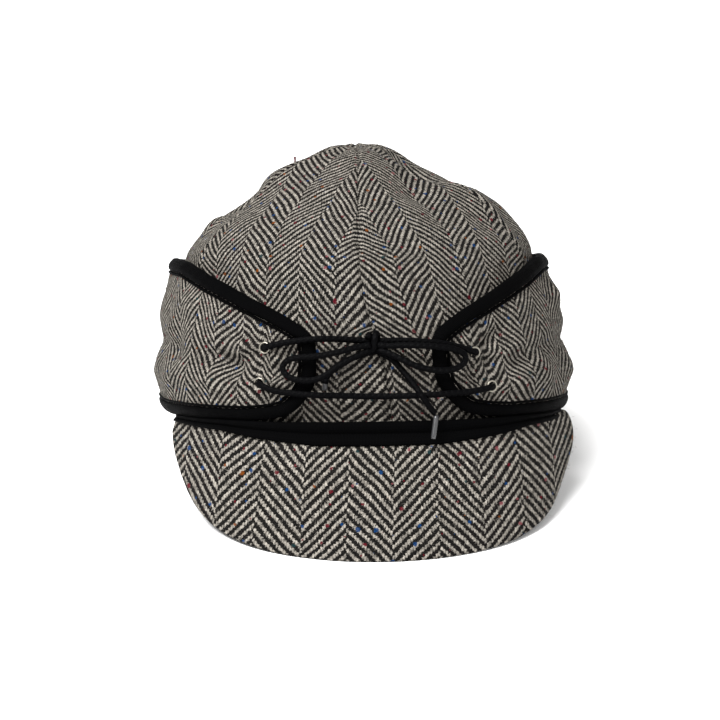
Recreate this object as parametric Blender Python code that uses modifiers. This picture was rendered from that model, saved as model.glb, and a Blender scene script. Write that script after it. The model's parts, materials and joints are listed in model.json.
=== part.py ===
"""Railroad engineer cap: six-panel wool crown, laced ear band and a short curved visor.

Everything is modelled upright in the cap's own frame, with the rim at z = 0 and the visor towards -Y.
One empty then tips the cap on to the visor's edge and the back of its rim, as it rests on a table.
Angles are measured round the vertical axis from the front, positive towards the wearer's left (+X).
"""
import math

import bmesh
import bpy
import numpy as np
from mathutils import Matrix, Vector

# Crown, in metres
OPENING_WIDTH = 0.168
OPENING_LENGTH = 0.196
CROWN_HEIGHT = 0.122
CROWN_CLOTH = 0.002
RIM_SQUARENESS = 2.8
SQUARE_HEIGHT = 0.075
TOP_HOLE_RADIUS = 0.0012
SEAM_GAP = 0.0003
SEAM_RIDGE = 0.0016
SEAM_RIDGE_WIDTH = 0.009
# The seams stand proud above the first of these shares of the height, fully so from the second
RIDGE_HEIGHTS = (0.60, 0.72)
# Dents and seams fade out, and a seam's width stops shrinking, inside these shares of the half width
TOP_FADE = 0.3
RIDGE_LEAST = 0.15
PANEL_COLUMNS = 9

# The soft cap leans: its front and its lower part sit a little to the wearer's left
SLUMP = 0.0032

# Behind these angles the rim and the ear band sag on to the table, over the lowest rows of the profile
SAG_ANGLES = (105.0, 145.0)
SAG_ROWS = 5

# Ear band and its tape
BAND_HEIGHT = 0.072
BAND_CLOTH = 0.0024
TAPE_CLOTH = 0.0007
TAPE_WIDTH = 0.0085
FIT_GAP = 0.0006
BAND_CLEARANCE = 0.0008
BAND_BULGE = 0.0045
BAND_FLAT_ANGLE = 21.0
BAND_COLUMN_ANGLE = 7.5

# Visor and the tape over its joint
VISOR_REACH = 0.027
VISOR_DROP = 0.051
VISOR_HALF_ANGLE = 63.5
VISOR_CUT = 0.975
VISOR_CORNER_POWER = 4
VISOR_CORNER_ROUNDING = 0.6
VISOR_BOARD = 0.0032
VISOR_BOW = 0.0018
VISOR_FLARE = 0.0030
VISOR_FLARE_ANGLES = (15.0, 40.0)
VISOR_REACH_ANGLE = 60.0
VISOR_LEAST_DROP = 0.1
VISOR_ROWS = 6
VISOR_JOINT_HEIGHT = 0.002
JOINT_TAPE_LEG = 0.005
JOINT_TAPE_CLOTH = 0.0009
JOINT_TAPE_LEAST_DROP = 0.35

# Eyelets and lace
EYELET_FLANGE_RADIUS = 0.0026
EYELET_FLANGE_HEIGHT = 0.0007
EYELET_BARREL_RADIUS = 0.0021
EYELET_BORE_RADIUS = 0.00165
EYELET_SIDES = 12
EYELET_HOLE_SIDES = 16
LACE_DIAMETER = 0.0024
LACE_TIP_DIAMETER = 0.0022
LACE_SPACING = 1.4 * LACE_DIAMETER
ROUTE_CUTS = 8
KNOT_SIZE = (0.0105, 0.0056, 0.0085)

# Height and width shares of the crown's side profile, from the rim to the top
CROWN_PROFILE = (
    # height, width
    (0.000, 1.000),
    (0.120, 1.000),
    (0.250, 0.980),
    (0.380, 0.958),
    (0.480, 0.938),
    (0.560, 0.928),
    (0.620, 0.918),
    (0.670, 0.865),
    (0.720, 0.785),
    (0.770, 0.695),
    (0.825, 0.585),
    (0.880, 0.465),
    (0.930, 0.345),
    (0.970, 0.235),
    (0.995, 0.130),
    (1.000, 0.075),
    (0.990, 0.000),
)

# Soft swellings and dents of the crown: where, how wide, and how deep as a share of its half width
CROWN_DENTS = (
    # angle, height, angle width, height width, depth
    (70.0, 0.800, 24.0, 0.060, 0.065),
    (28.0, 0.845, 12.0, 0.070, -0.045),
    (84.0, 0.935, 40.0, 0.045, -0.060),
    (-80.0, 0.925, 30.0, 0.040, 0.040),
    (-78.0, 0.790, 26.0, 0.060, -0.075),
    (-36.0, 0.790, 14.0, 0.080, -0.025),
    (-80.0, 0.660, 30.0, 0.060, -0.030),
    (-150.0, 0.850, 22.0, 0.080, 0.025),
    (122.0, 0.790, 16.0, 0.070, -0.030),
)

# The front seam wanders as the cloth slumps: its angle at each height
FRONT_SEAM = (
    # height, angle
    (0.000, 3.6),
    (0.130, 3.5),
    (0.240, 2.8),
    (0.400, -0.6),
    (0.480, -1.8),
    (0.740, -2.5),
    (0.900, -2.0),
    (1.000, 0.0),
)

# Lower and upper edge of each half of the ear band, as shares of its height
BAND_EDGES = (
    # angle, bottom, top
    (14.6, 0.400, 0.545),
    (14.9, 0.340, 0.585),
    (15.8, 0.285, 0.615),
    (17.6, 0.220, 0.645),
    (20.7, 0.150, 0.690),
    (25.0, 0.124, 0.740),
    (31.7, 0.106, 0.800),
    (42.5, 0.099, 0.885),
    (55.0, 0.088, 0.950),
    (66.0, 0.074, 0.990),
    (90.0, 0.060, 0.985),
    (135.0, 0.050, 0.910),
    (180.0, 0.045, 0.870),
)

# How far the band's cloth stands off the crown between its lower and upper edge
BAND_SWELL = (
    # height between the edges, share of the bulge
    (0.000, 0.00),
    (0.130, 0.52),
    (0.250, 1.00),
    (0.360, 0.80),
    (0.470, 0.36),
    (0.590, 0.66),
    (0.730, 0.74),
    (0.870, 0.42),
    (1.000, 0.00),
)

# Eyelets on the band's front ends
EYELETS = (
    # name, angle, height as a share of the band's
    ("eyelet_left_upper", -26.5, 0.530),
    ("eyelet_left_lower", -27.4, 0.322),
    ("eyelet_right_upper", 24.6, 0.485),
    ("eyelet_right_lower", 27.4, 0.285),
)

# Routes of the lace: across, distance off the crown's surface, height above the rim
KNOT_PLACE = (0.0015, 0.0405)
LACE_ROUTES = {
    "lace_upper_left": (
        (-0.0375, 0.0078, 0.0406), (-0.0300, 0.0077, 0.0418), (-0.0240, 0.0073, 0.0424),
        (-0.0170, 0.0058, 0.0424), (-0.0105, 0.0041, 0.0420), (-0.0044, 0.0032, 0.0414),
    ),
    "lace_upper_right": (
        (0.0365, 0.0078, 0.0384), (0.0300, 0.0077, 0.0398), (0.0240, 0.0073, 0.0406),
        (0.0180, 0.0058, 0.0411), (0.0125, 0.0042, 0.0412), (0.0074, 0.0032, 0.0411),
    ),
    "lace_lower": (
        (-0.0415, 0.0080, 0.0208), (-0.0330, 0.0077, 0.0196), (-0.0245, 0.0073, 0.0190),
        (-0.0140, 0.0046, 0.0184), (0.0000, 0.0028, 0.0178), (0.0140, 0.0046, 0.0179),
        (0.0245, 0.0073, 0.0183), (0.0330, 0.0077, 0.0187), (0.0415, 0.0080, 0.0190),
    ),
    "bow_loop_left": (
        (-0.0046, 0.0056, 0.0390), (-0.0085, 0.0070, 0.0383), (-0.0160, 0.0082, 0.0366),
        (-0.0240, 0.0090, 0.0354), (-0.0310, 0.0092, 0.0348), (-0.0352, 0.0092, 0.0336),
        (-0.0374, 0.0092, 0.0306), (-0.0356, 0.0092, 0.0272), (-0.0304, 0.0092, 0.0254),
        (-0.0238, 0.0088, 0.0256), (-0.0190, 0.0080, 0.0276), (-0.0146, 0.0072, 0.0306),
        (-0.0100, 0.0062, 0.0332), (-0.0046, 0.0050, 0.0356),
    ),
    "bow_loop_right": (
        (0.0078, 0.0056, 0.0392), (0.0130, 0.0076, 0.0395), (0.0200, 0.0098, 0.0394),
        (0.0290, 0.0106, 0.0386), (0.0360, 0.0108, 0.0372), (0.0402, 0.0104, 0.0346),
        (0.0400, 0.0100, 0.0318), (0.0370, 0.0098, 0.0296), (0.0312, 0.0096, 0.0286),
        (0.0250, 0.0092, 0.0292), (0.0190, 0.0084, 0.0308), (0.0134, 0.0074, 0.0334),
        (0.0078, 0.0056, 0.0360),
    ),
    "lace_end_left": (
        (-0.0036, 0.0018, 0.0356), (-0.0078, 0.0018, 0.0338), (-0.0125, 0.0019, 0.0316),
        (-0.0163, 0.0020, 0.0290), (-0.0187, 0.0021, 0.0258), (-0.0194, 0.0022, 0.0232),
    ),
    "lace_end_right": (
        (0.0060, 0.0020, 0.0358), (0.0096, 0.0022, 0.0328), (0.0130, 0.0030, 0.0290),
        (0.0164, 0.0058, 0.0250), (0.0194, 0.0094, 0.0210), (0.0222, 0.0104, 0.0168),
        (0.0248, 0.0100, 0.0130), (0.0268, 0.0100, 0.0106),
    ),
}

# How the lace leaves an eyelet, in thicknesses of band cloth outwards and lace diameters aside
EYELET_EXIT = (
    # outwards, aside
    (-0.75, 0.0),
    (1.20, 0.0),
    (1.55, 0.3),
    (1.65, 0.9),
)

# Stiff tips on the lace's two ends, as routes of two points
LACE_TIPS = {
    "lace_tip_left": ((-0.0195, 0.0023, 0.0229), (-0.0196, 0.0024, 0.0205)),
    "lace_tip_right": ((0.0274, 0.0101, 0.0095), (0.0256, 0.0124, 0.0002)),
}

HALF_WIDTH = OPENING_WIDTH / 2 + CROWN_CLOTH
HALF_LENGTH = OPENING_LENGTH / 2 + CROWN_CLOTH
VISOR_SLANT = math.hypot(VISOR_REACH, VISOR_DROP) / VISOR_DROP
VISOR_SPREAD = VISOR_HALF_ANGLE * VISOR_CUT
VISOR_COLUMNS = 26
VISOR_TIP = HALF_LENGTH + FIT_GAP + VISOR_BOARD * VISOR_SLANT + VISOR_REACH
FLOOR_SLOPE = (VISOR_DROP - VISOR_JOINT_HEIGHT) / (HALF_LENGTH + VISOR_TIP)
REST_TILT = math.atan(FLOOR_SLOPE)
BAND_STANDOFF = BAND_CLEARANCE + TAPE_CLOTH + FIT_GAP + BAND_CLOTH / 2


def clear_scene():
    for item in list(bpy.data.objects):
        bpy.data.objects.remove(item)


def smooth(rows, x, column=1):
    """Smooth curve through a table's rows that keeps their rises and falls."""
    xs = np.array([row[0] for row in rows])
    ys = np.array([row[column] for row in rows])
    steps = np.diff(xs)
    slopes = np.diff(ys) / steps
    tangents = np.empty(len(xs))
    tangents[0], tangents[-1] = slopes[0], slopes[-1]
    for i in range(1, len(xs) - 1):
        before, after = slopes[i - 1], slopes[i]
        tangents[i] = 0.0 if before * after <= 0 else 2 * before * after / (before + after)
    x = min(max(x, xs[0]), xs[-1])
    i = min(int(np.searchsorted(xs, x, side="right")) - 1, len(xs) - 2)
    t = (x - xs[i]) / steps[i]
    return float(
        ys[i] * (1 + 2 * t) * (1 - t) ** 2 + ys[i + 1] * t * t * (3 - 2 * t)
        + steps[i] * (tangents[i] * t * (1 - t) ** 2 - tangents[i + 1] * t * t * (1 - t))
    )


# The profile read by its row number, because the top dips below its own crest
PROFILE_HEIGHT = tuple((i, row[0]) for i, row in enumerate(CROWN_PROFILE))
PROFILE_WIDTH = tuple((i, row[1]) for i, row in enumerate(CROWN_PROFILE))
PROFILE_END = len(CROWN_PROFILE) - 1
WALL_ROWS = tuple((row[0], i) for i, row in enumerate(CROWN_PROFILE[:8]))


def plan_radius(angle, height):
    """Distance from the vertical axis to the rim's outline: square in front and low down, else an ellipse."""
    turn = math.radians(angle)
    across, along = abs(math.sin(turn)), abs(math.cos(turn))
    front = max(0.0, math.cos(turn)) ** 0.5
    low = max(0.0, 1 - height / SQUARE_HEIGHT)
    power = 2 + (RIM_SQUARENESS - 2) * front * low
    return ((across / HALF_WIDTH) ** power + (along / HALF_LENGTH) ** power) ** (-1 / power)


def angle_between(a, b):
    return (a - b + 180) % 360 - 180


def leaning(point):
    """Shift a point by the cap's lean, which is nothing at the top and at the back."""
    low = min(1.0, max(0.0, 1 - point.z / SQUARE_HEIGHT))
    forward = min(1.0, max(0.0, 0.5 - 0.5 * point.y / HALF_LENGTH))
    return Vector((point.x + SLUMP * low * forward, point.y, point.z))


def floor_height(y):
    """Height of the table under the resting cap, in the cap's own frame."""
    return (y - HALF_LENGTH) * FLOOR_SLOPE


def ramp(value, start, full):
    """Share of the way from start to full, held between 0 and 1."""
    return min(1.0, max(0.0, (value - start) / (full - start)))


def table_sag(angle, y):
    """How far the back of the rim and of the ear band sinks to meet the table."""
    share = ramp(abs(angle_between(angle, 0)), *SAG_ANGLES)
    return floor_height(y) * share * share * (3 - 2 * share)


def seam_ridge(angle, row):
    """Outward swell of the cloth along the six seams, where the turned-in edges lie."""
    radius = plan_radius(angle, 0) * max(RIDGE_LEAST, smooth(PROFILE_WIDTH, row))
    height = smooth(PROFILE_HEIGHT, row)
    swell = 0.0
    for seam in range(6):
        place = seam * 60.0 if seam else smooth(FRONT_SEAM, height)
        away = math.radians(angle_between(angle, place)) * radius
        swell += SEAM_RIDGE * math.exp(-(away / SEAM_RIDGE_WIDTH) ** 2)
    return swell


def dents(angle, row):
    height = smooth(PROFILE_HEIGHT, row)
    swell = 0.0
    for place, level, spread, rise, depth in CROWN_DENTS:
        off = (angle_between(angle, place) / spread) ** 2 + ((height - level) / rise) ** 2
        swell += depth * HALF_WIDTH * math.exp(-off)
    return swell


def crown_section(angle, row):
    """Radius and height on the crown's outer surface at an angle and a row of the profile."""
    height = smooth(PROFILE_HEIGHT, row) * CROWN_HEIGHT
    share = smooth(PROFILE_WIDTH, row)
    radius = TOP_HOLE_RADIUS + share * (plan_radius(angle, height) - TOP_HOLE_RADIUS)
    ridge = ramp(height / CROWN_HEIGHT, *RIDGE_HEIGHTS) * seam_ridge(angle, row)
    return radius + ramp(share, 0, TOP_FADE) * (dents(angle, row) + ridge), height


def crown_point(angle, row, depth=0.0):
    """Point on the crown, sunk below its outer surface by depth, inside the plane of that angle."""
    radius, height = crown_section(angle, row)
    if row > 0:
        step = 0.05
        low = crown_section(angle, max(0.0, row - step))
        high = crown_section(angle, min(PROFILE_END, row + step))
        run, rise = high[0] - low[0], high[1] - low[1]
        length = math.hypot(run, rise)
        radius, height = radius - depth * rise / length, height + depth * run / length
    else:
        radius -= depth
    radius = max(radius, TOP_HOLE_RADIUS)
    turn = math.radians(angle)
    x, y = radius * math.sin(turn), -radius * math.cos(turn)
    return leaning(Vector((x, y, height + table_sag(angle, y) * max(0.0, 1 - row / SAG_ROWS))))


def wall_radius(angle, height):
    """Radius of the crown's outer wall at a height above the rim."""
    row = smooth(WALL_ROWS, max(0.0, height) / CROWN_HEIGHT)
    return crown_section(angle, row)[0]


def make_material(name, color, roughness, metallic=0.0):
    material = bpy.data.materials.new(name)
    material.use_nodes = True
    shader = material.node_tree.nodes["Principled BSDF"]
    shader.inputs["Base Color"].default_value = (*color, 1.0)
    shader.inputs["Roughness"].default_value = roughness
    shader.inputs["Metallic"].default_value = metallic
    return material


def add_object(name, mesh_or_curve, material):
    part = bpy.data.objects.new(name, mesh_or_curve)
    mesh_or_curve.materials.append(material)
    PARTS.objects.link(part)
    part.parent = REST_FRAME
    return part


def finish_mesh(name, bm, material, sharp=35):
    bmesh.ops.recalc_face_normals(bm, faces=bm.faces)
    mesh = bpy.data.meshes.new(name)
    bm.to_mesh(mesh)
    bm.free()
    mesh.shade_smooth()
    mesh.set_sharp_from_angle(angle=math.radians(sharp))
    return add_object(name, mesh, material)


def cloth_shell(name, columns, rows, outer, inner, material):
    """Closed wall between two surfaces, each given as a function of shares across and up."""
    bm = bmesh.new()
    bmesh.ops.create_grid(bm, x_segments=columns, y_segments=rows, size=0.5)
    front = list(bm.verts)
    grown = bmesh.ops.extrude_face_region(bm, geom=list(bm.faces))["geom"]
    back = [item for item in grown if isinstance(item, bmesh.types.BMVert)]
    for verts, surface in ((front, outer), (back, inner)):
        for vert in verts:
            vert.co = surface(vert.co.x + 0.5, vert.co.y + 0.5)
    return finish_mesh(name, bm, material)


def swept_strip(name, sections, material):
    """Closed body through a row of like-sided sections."""
    bm = bmesh.new()
    rings = [[bm.verts.new(point) for point in section] for section in sections]
    sides = len(rings[0])
    for ring, after in zip(rings, rings[1:]):
        for i in range(sides):
            j = (i + 1) % sides
            bm.faces.new((ring[i], ring[j], after[j], after[i]))
    bm.faces.new(rings[0])
    bm.faces.new(rings[-1])
    bmesh.ops.triangulate(bm, faces=[face for face in bm.faces if len(face.verts) > 4])
    return finish_mesh(name, bm, material)


def make_crown():
    names = (
        "crown_front_right", "crown_side_right", "crown_back_right",
        "crown_back_left", "crown_side_left", "crown_front_left",
    )
    last = PROFILE_END

    def seam_angle(seam, row):
        if seam % 6:
            return seam * 60.0
        return seam * 60.0 + smooth(FRONT_SEAM, smooth(PROFILE_HEIGHT, row))

    def panel(seam, depth):
        def surface(u, v):
            row = v * last
            start, end = seam_angle(seam, row), seam_angle(seam + 1, row)
            angle = start + (end - start) * u
            turn = math.radians(angle)
            aside = Vector((math.cos(turn), math.sin(turn), 0)) * SEAM_GAP * (0.5 - u)
            return crown_point(angle, row, depth) + aside
        return surface

    wool = make_material("wool_crown", (0.30, 0.28, 0.25), 0.95)
    for seam, name in enumerate(names):
        cloth_shell(name, PANEL_COLUMNS, last, panel(seam, 0.0), panel(seam, CROWN_CLOTH), wool)


def band_edges(angle):
    bottom = smooth(BAND_EDGES, abs(angle), 1) * BAND_HEIGHT
    top = smooth(BAND_EDGES, abs(angle), 2) * BAND_HEIGHT
    y = HALF_LENGTH * -math.cos(math.radians(angle))
    return bottom + table_sag(angle, y), top


def band_point(angle, height, depth=0.0):
    """Point on the middle of the band's cloth, moved outwards by depth."""
    bottom, top = band_edges(angle)
    share = min(1.0, max(0.0, (height - bottom) / (top - bottom)))
    looseness = ramp(abs(angle), BAND_FLAT_ANGLE, 2 * BAND_FLAT_ANGLE)
    rows = BAND_SWELL
    swell = np.interp(share, [row[0] for row in rows], [row[1] for row in rows])
    radius = wall_radius(angle, height) + BAND_STANDOFF + BAND_BULGE * looseness * swell + depth
    turn = math.radians(angle)
    return leaning(Vector((radius * math.sin(turn), -radius * math.cos(turn), height)))


def band_angles():
    """Column angles of a band half, close together round its front end."""
    knots = [row[0] for row in BAND_EDGES]
    angles = []
    for start, end in zip(knots, knots[1:]):
        cuts = max(1, round((end - start) / BAND_COLUMN_ANGLE))
        angles += [start + (end - start) * i / cuts for i in range(cuts)]
    return angles + [knots[-1]]


def band_outline(side):
    """Edge of a band half as angle and height: along the bottom, up the front end, back along the top."""
    angles = band_angles()
    bottom = [(angle, band_edges(angle)[0]) for angle in reversed(angles)]
    top = [(angle, band_edges(angle)[1]) for angle in angles]
    front = [(angles[0], (bottom[-1][1] + top[0][1]) / 2)]
    return [(side * angle, height) for angle, height in bottom + front + top]


def make_ear_band():
    wool = make_material("wool_band", (0.32, 0.30, 0.27), 0.95)
    tape = make_material("edge_tape", (0.012, 0.012, 0.013), 0.8)
    rows = [row[0] for row in BAND_SWELL]
    angles = band_angles()

    for side, name in ((-1, "left"), (1, "right")):
        def surface(depth):
            def place(u, v):
                angle = angles[round(u * (len(angles) - 1))]
                bottom, top = band_edges(angle)
                share = rows[round(v * (len(rows) - 1))]
                point = band_point(side * angle, bottom + (top - bottom) * share, depth)
                if angle == angles[-1]:
                    point.x = leaning(Vector((side * SEAM_GAP / 2, point.y, point.z))).x
                return point
            return place

        half = BAND_CLOTH / 2
        band = cloth_shell(
            f"ear_band_{name}", len(angles) - 1, len(rows) - 1, surface(half), surface(-half), wool,
        )
        for eyelet, angle, share in EYELETS:
            if angle * side > 0:
                cut_eyelet_hole(band, eyelet, angle, share)
        make_edge_tape(f"edge_tape_{name}", side, tape)


def make_edge_tape(name, side, material):
    """Folded tape over the band's edge: a channel whose two legs hold the cloth between them."""
    outline = band_outline(side)
    girth = math.radians(1) * (HALF_WIDTH + HALF_LENGTH) / 2
    flat = [Vector((angle * girth, height)) for angle, height in outline]
    hold = BAND_CLOTH / 2 + FIT_GAP
    skin = hold + TAPE_CLOTH
    channel = (
        (TAPE_WIDTH, skin), (0, skin), (-FIT_GAP - TAPE_CLOTH, hold),
        (-FIT_GAP - TAPE_CLOTH, -hold), (0, -skin), (TAPE_WIDTH, -skin),
        (TAPE_WIDTH, -hold), (-FIT_GAP, -hold), (-FIT_GAP, hold), (TAPE_WIDTH, hold),
    )
    sections = []
    for i, here in enumerate(flat):
        before, after = flat[max(0, i - 1)], flat[min(len(flat) - 1, i + 1)]
        along = (after - before).normalized()
        inward = Vector((along.y, -along.x)) * side
        if i in (0, len(flat) - 1):
            inward = Vector((0, 1 if i == 0 else -1))
        section = []
        for reach, depth in channel:
            spot = here + inward * reach
            angle = side * max(min(side * spot.x / girth, 180), 0)
            point = band_point(angle, spot.y, depth)
            if i in (0, len(flat) - 1):
                point.x = leaning(Vector((side * SEAM_GAP / 2, point.y, point.z))).x
            section.append(point)
        sections.append(section)
    swept_strip(name, sections, material)


def eyelet_frame(angle, share):
    """Place and outward direction of an eyelet on the band."""
    height = share * BAND_HEIGHT
    step = 0.5
    here = band_point(angle, height)
    along = band_point(angle + step, height) - band_point(angle - step, height)
    up = band_point(angle, height + 0.001) - band_point(angle, height - 0.001)
    outward = along.cross(up).normalized()
    return Matrix.Translation(here) @ outward.to_track_quat("Z", "Y").to_matrix().to_4x4()


def cut_eyelet_hole(band, name, angle, share):
    bpy.ops.mesh.primitive_cylinder_add(
        vertices=EYELET_HOLE_SIDES, radius=EYELET_BARREL_RADIUS + SEAM_GAP, depth=BAND_CLOTH * 4,
    )
    cutter = bpy.context.object
    cutter.name = f"hole_{name}"
    for owner in list(cutter.users_collection):
        owner.objects.unlink(cutter)
    CUTTERS.objects.link(cutter)
    cutter.parent = REST_FRAME
    cutter.matrix_local = eyelet_frame(angle, share)
    cutter.hide_render = True
    cutter.display_type = "WIRE"
    cut = band.modifiers.new(cutter.name, "BOOLEAN")
    cut.operation = "DIFFERENCE"
    cut.solver = "EXACT"
    cut.object = cutter


def make_eyelets():
    metal = make_material("eyelet_metal", (0.42, 0.42, 0.43), 0.35, 1.0)
    face = BAND_CLOTH / 2 + SEAM_GAP
    top = face + EYELET_FLANGE_HEIGHT
    foot = -BAND_CLOTH / 2 - SEAM_GAP
    profile = (
        (EYELET_BORE_RADIUS, top), (EYELET_FLANGE_RADIUS - EYELET_FLANGE_HEIGHT / 2, top),
        (EYELET_FLANGE_RADIUS, face), (EYELET_BARREL_RADIUS, face),
        (EYELET_BARREL_RADIUS, foot), (EYELET_BORE_RADIUS, foot),
    )
    for name, angle, share in EYELETS:
        mesh = bpy.data.meshes.new(name)
        corners = [(radius, 0, height) for radius, height in profile]
        mesh.from_pydata(corners, [(i, (i + 1) % len(corners)) for i in range(len(corners))], [])
        eyelet = add_object(name, mesh, metal)
        eyelet.matrix_local = eyelet_frame(angle, share)
        turned = eyelet.modifiers.new("turned", "SCREW")
        turned.steps = turned.render_steps = EYELET_SIDES
        turned.use_merge_vertices = True
        turned.merge_threshold = 0.00002


def visor_share(angle):
    """How much of its full drop the visor has at an angle: nearly all of it, then rounded corners."""
    return (1 - (abs(angle) / VISOR_HALF_ANGLE) ** VISOR_CORNER_POWER) ** VISOR_CORNER_ROUNDING


def visor_point(angle, share, depth=0.0):
    """Point on the visor between its joint (0) and its edge (1), sunk below its top by depth."""
    swing = math.radians(90) * ramp(abs(angle), 0, VISOR_REACH_ANGLE)
    reach = VISOR_REACH * math.cos(swing) ** 2 + VISOR_FLARE * ramp(abs(angle), *VISOR_FLARE_ANGLES)
    drop = VISOR_DROP * max(VISOR_LEAST_DROP, visor_share(angle))
    slant = math.hypot(reach, drop) / drop
    joint = wall_radius(angle, VISOR_JOINT_HEIGHT) + FIT_GAP + VISOR_BOARD * slant
    bow = VISOR_BOW * 4 * share * (1 - share)
    radius = joint + reach * share + bow - depth * slant
    turn = math.radians(angle)
    edge = radius if share == 1 else joint + reach
    fall = (VISOR_JOINT_HEIGHT - floor_height(-edge * math.cos(turn))) * visor_share(angle)
    place = Vector((radius * math.sin(turn), -radius * math.cos(turn), VISOR_JOINT_HEIGHT - fall * share))
    return leaning(place)


def make_visor():
    wool = make_material("wool_visor", (0.30, 0.28, 0.25), 0.95)

    def surface(depth):
        return lambda u, v: visor_point(VISOR_SPREAD * (2 * u - 1), 1 - v, depth)

    cloth_shell("visor", VISOR_COLUMNS, VISOR_ROWS, surface(0.0), surface(VISOR_BOARD), wool)


def make_joint_tape():
    """Tape laid over the visor's joint: up the crown's wall, over the board's edge and down its top."""
    tape = make_material("joint_tape", (0.012, 0.012, 0.013), 0.8)
    skin = JOINT_TAPE_CLOTH
    sections = []
    for i in range(VISOR_COLUMNS + 1):
        angle = VISOR_SPREAD * (2 * i / VISOR_COLUMNS - 1)
        turn = math.radians(angle)
        out = Vector((math.sin(turn), -math.cos(turn), 0))
        up = Vector((0, 0, 1))
        corner = visor_point(angle, 0)
        leg = JOINT_TAPE_LEG / VISOR_DROP / max(JOINT_TAPE_LEAST_DROP, visor_share(angle))
        foot = visor_point(angle, leg)
        down = (foot - corner).normalized()
        facing = (out - down * out.dot(down)).normalized()
        top = VISOR_JOINT_HEIGHT + JOINT_TAPE_LEG
        if abs(angle) > BAND_EDGES[0][0]:
            top = min(top, band_edges(angle)[0] - FIT_GAP * 2 - TAPE_CLOTH)
        wall_top = leaning(out * (wall_radius(angle, top) + FIT_GAP) + up * top)
        step = wall_radius(angle, VISOR_JOINT_HEIGHT) + FIT_GAP
        wall_foot = leaning(out * step + up * (VISOR_JOINT_HEIGHT + SEAM_GAP))
        shoulder = corner + up * SEAM_GAP + facing * FIT_GAP
        sections.append([
            wall_top, wall_foot, shoulder, foot + facing * FIT_GAP,
            foot + facing * (FIT_GAP + skin), shoulder + facing * skin + up * skin,
            wall_foot + (out + up) * skin + up * SEAM_GAP, wall_top + out * skin,
        ])
    swept_strip("visor_seam_tape", sections, tape)


def off_crown(across, away, height):
    """Point in front of the crown, given across, its distance off the cloth, and its height."""
    across -= SLUMP / 2
    angle = math.degrees(math.asin(across / HALF_LENGTH))
    for _ in range(4):
        radius = wall_radius(angle, max(0.0, height)) + away
        angle = math.degrees(math.asin(across / radius))
    turn = math.radians(angle)
    return leaning(Vector((across, -radius * math.cos(turn), height)))


def fine_route(points, spacing):
    """Evenly spaced points on a smooth curve through the route's own points."""
    fine = []
    padded = [points[0] * 2 - points[1], *points, points[-1] * 2 - points[-2]]
    for a, b, c, d in zip(padded, padded[1:], padded[2:], padded[3:]):
        first, middle, last = ((q - p).length ** 0.5 for p, q in ((a, b), (b, c), (c, d)))
        leave = ((b - a) / first - (c - a) / (first + middle) + (c - b) / middle) * middle
        arrive = ((c - b) / middle - (d - b) / (middle + last) + (d - c) / last) * middle
        for i in range(ROUTE_CUTS):
            t = i / ROUTE_CUTS
            bend = 2 * (b - c) + leave + arrive
            lean = 3 * (c - b) - 2 * leave - arrive
            fine.append(b + t * (leave + t * (lean + t * bend)))
    fine.append(points[-1])
    lengths = np.cumsum([0.0] + [(q - p).length for p, q in zip(fine, fine[1:])])
    count = max(2, round(lengths[-1] / spacing) + 1)
    path = []
    for mark in np.linspace(0, lengths[-1], count):
        i = min(int(np.searchsorted(lengths, mark, side="right")) - 1, len(fine) - 2)
        path.append(fine[i].lerp(fine[i + 1], (mark - lengths[i]) / (lengths[i + 1] - lengths[i])))
    return path


def make_tube(name, path, diameter, material):
    curve = bpy.data.curves.new(name, "CURVE")
    curve.dimensions = "3D"
    curve.bevel_depth = diameter / 2
    curve.bevel_resolution = 2
    curve.use_fill_caps = True
    spline = curve.splines.new("POLY")
    spline.points.add(len(path) - 1)
    for point, place in zip(spline.points, path):
        point.co = (*place, 1.0)
    return add_object(name, curve, material)


def eyelet_entry(name, onward):
    """Points that take the lace straight out of an eyelet and round towards the next point of its route."""
    angle, share = next((row[1], row[2]) for row in EYELETS if row[0] == name)
    frame = eyelet_frame(angle, share)
    aside = frame.inverted() @ onward
    aside = Vector((aside.x, aside.y, 0)).normalized() * LACE_DIAMETER
    outwards = Vector((0, 0, BAND_CLOTH))
    return [frame @ (outwards * out + aside * across) for out, across in EYELET_EXIT]


def make_lace():
    cord = make_material("lace_cord", (0.014, 0.014, 0.015), 0.75)
    plastic = make_material("lace_tip_plastic", (0.35, 0.35, 0.36), 0.3)
    starts = {
        "lace_upper_left": "eyelet_left_upper",
        "lace_upper_right": "eyelet_right_upper",
        "lace_lower": "eyelet_left_lower",
    }
    for name, rows in LACE_ROUTES.items():
        path = fine_route([off_crown(*row) for row in rows], LACE_SPACING)
        if name in starts:
            path = eyelet_entry(starts[name], path[0]) + path
        if name == "lace_lower":
            path += reversed(eyelet_entry("eyelet_right_lower", path[-1]))
        make_tube(name, path, LACE_DIAMETER, cord)
    for name, rows in LACE_TIPS.items():
        make_tube(name, [off_crown(*row) for row in rows], LACE_TIP_DIAMETER, plastic)

    bpy.ops.mesh.primitive_uv_sphere_add(segments=14, ring_count=8, radius=0.5)
    ball = bpy.context.object
    mesh = ball.data
    mesh.name = "lace_knot"
    mesh.transform(Matrix.Diagonal((*KNOT_SIZE, 1.0)))
    mesh.shade_smooth()
    bpy.data.objects.remove(ball)
    knot = add_object("lace_knot", mesh, cord)
    across, height = KNOT_PLACE
    knot.location = off_crown(across, KNOT_SIZE[1] / 2 + SEAM_GAP, height)


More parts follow.
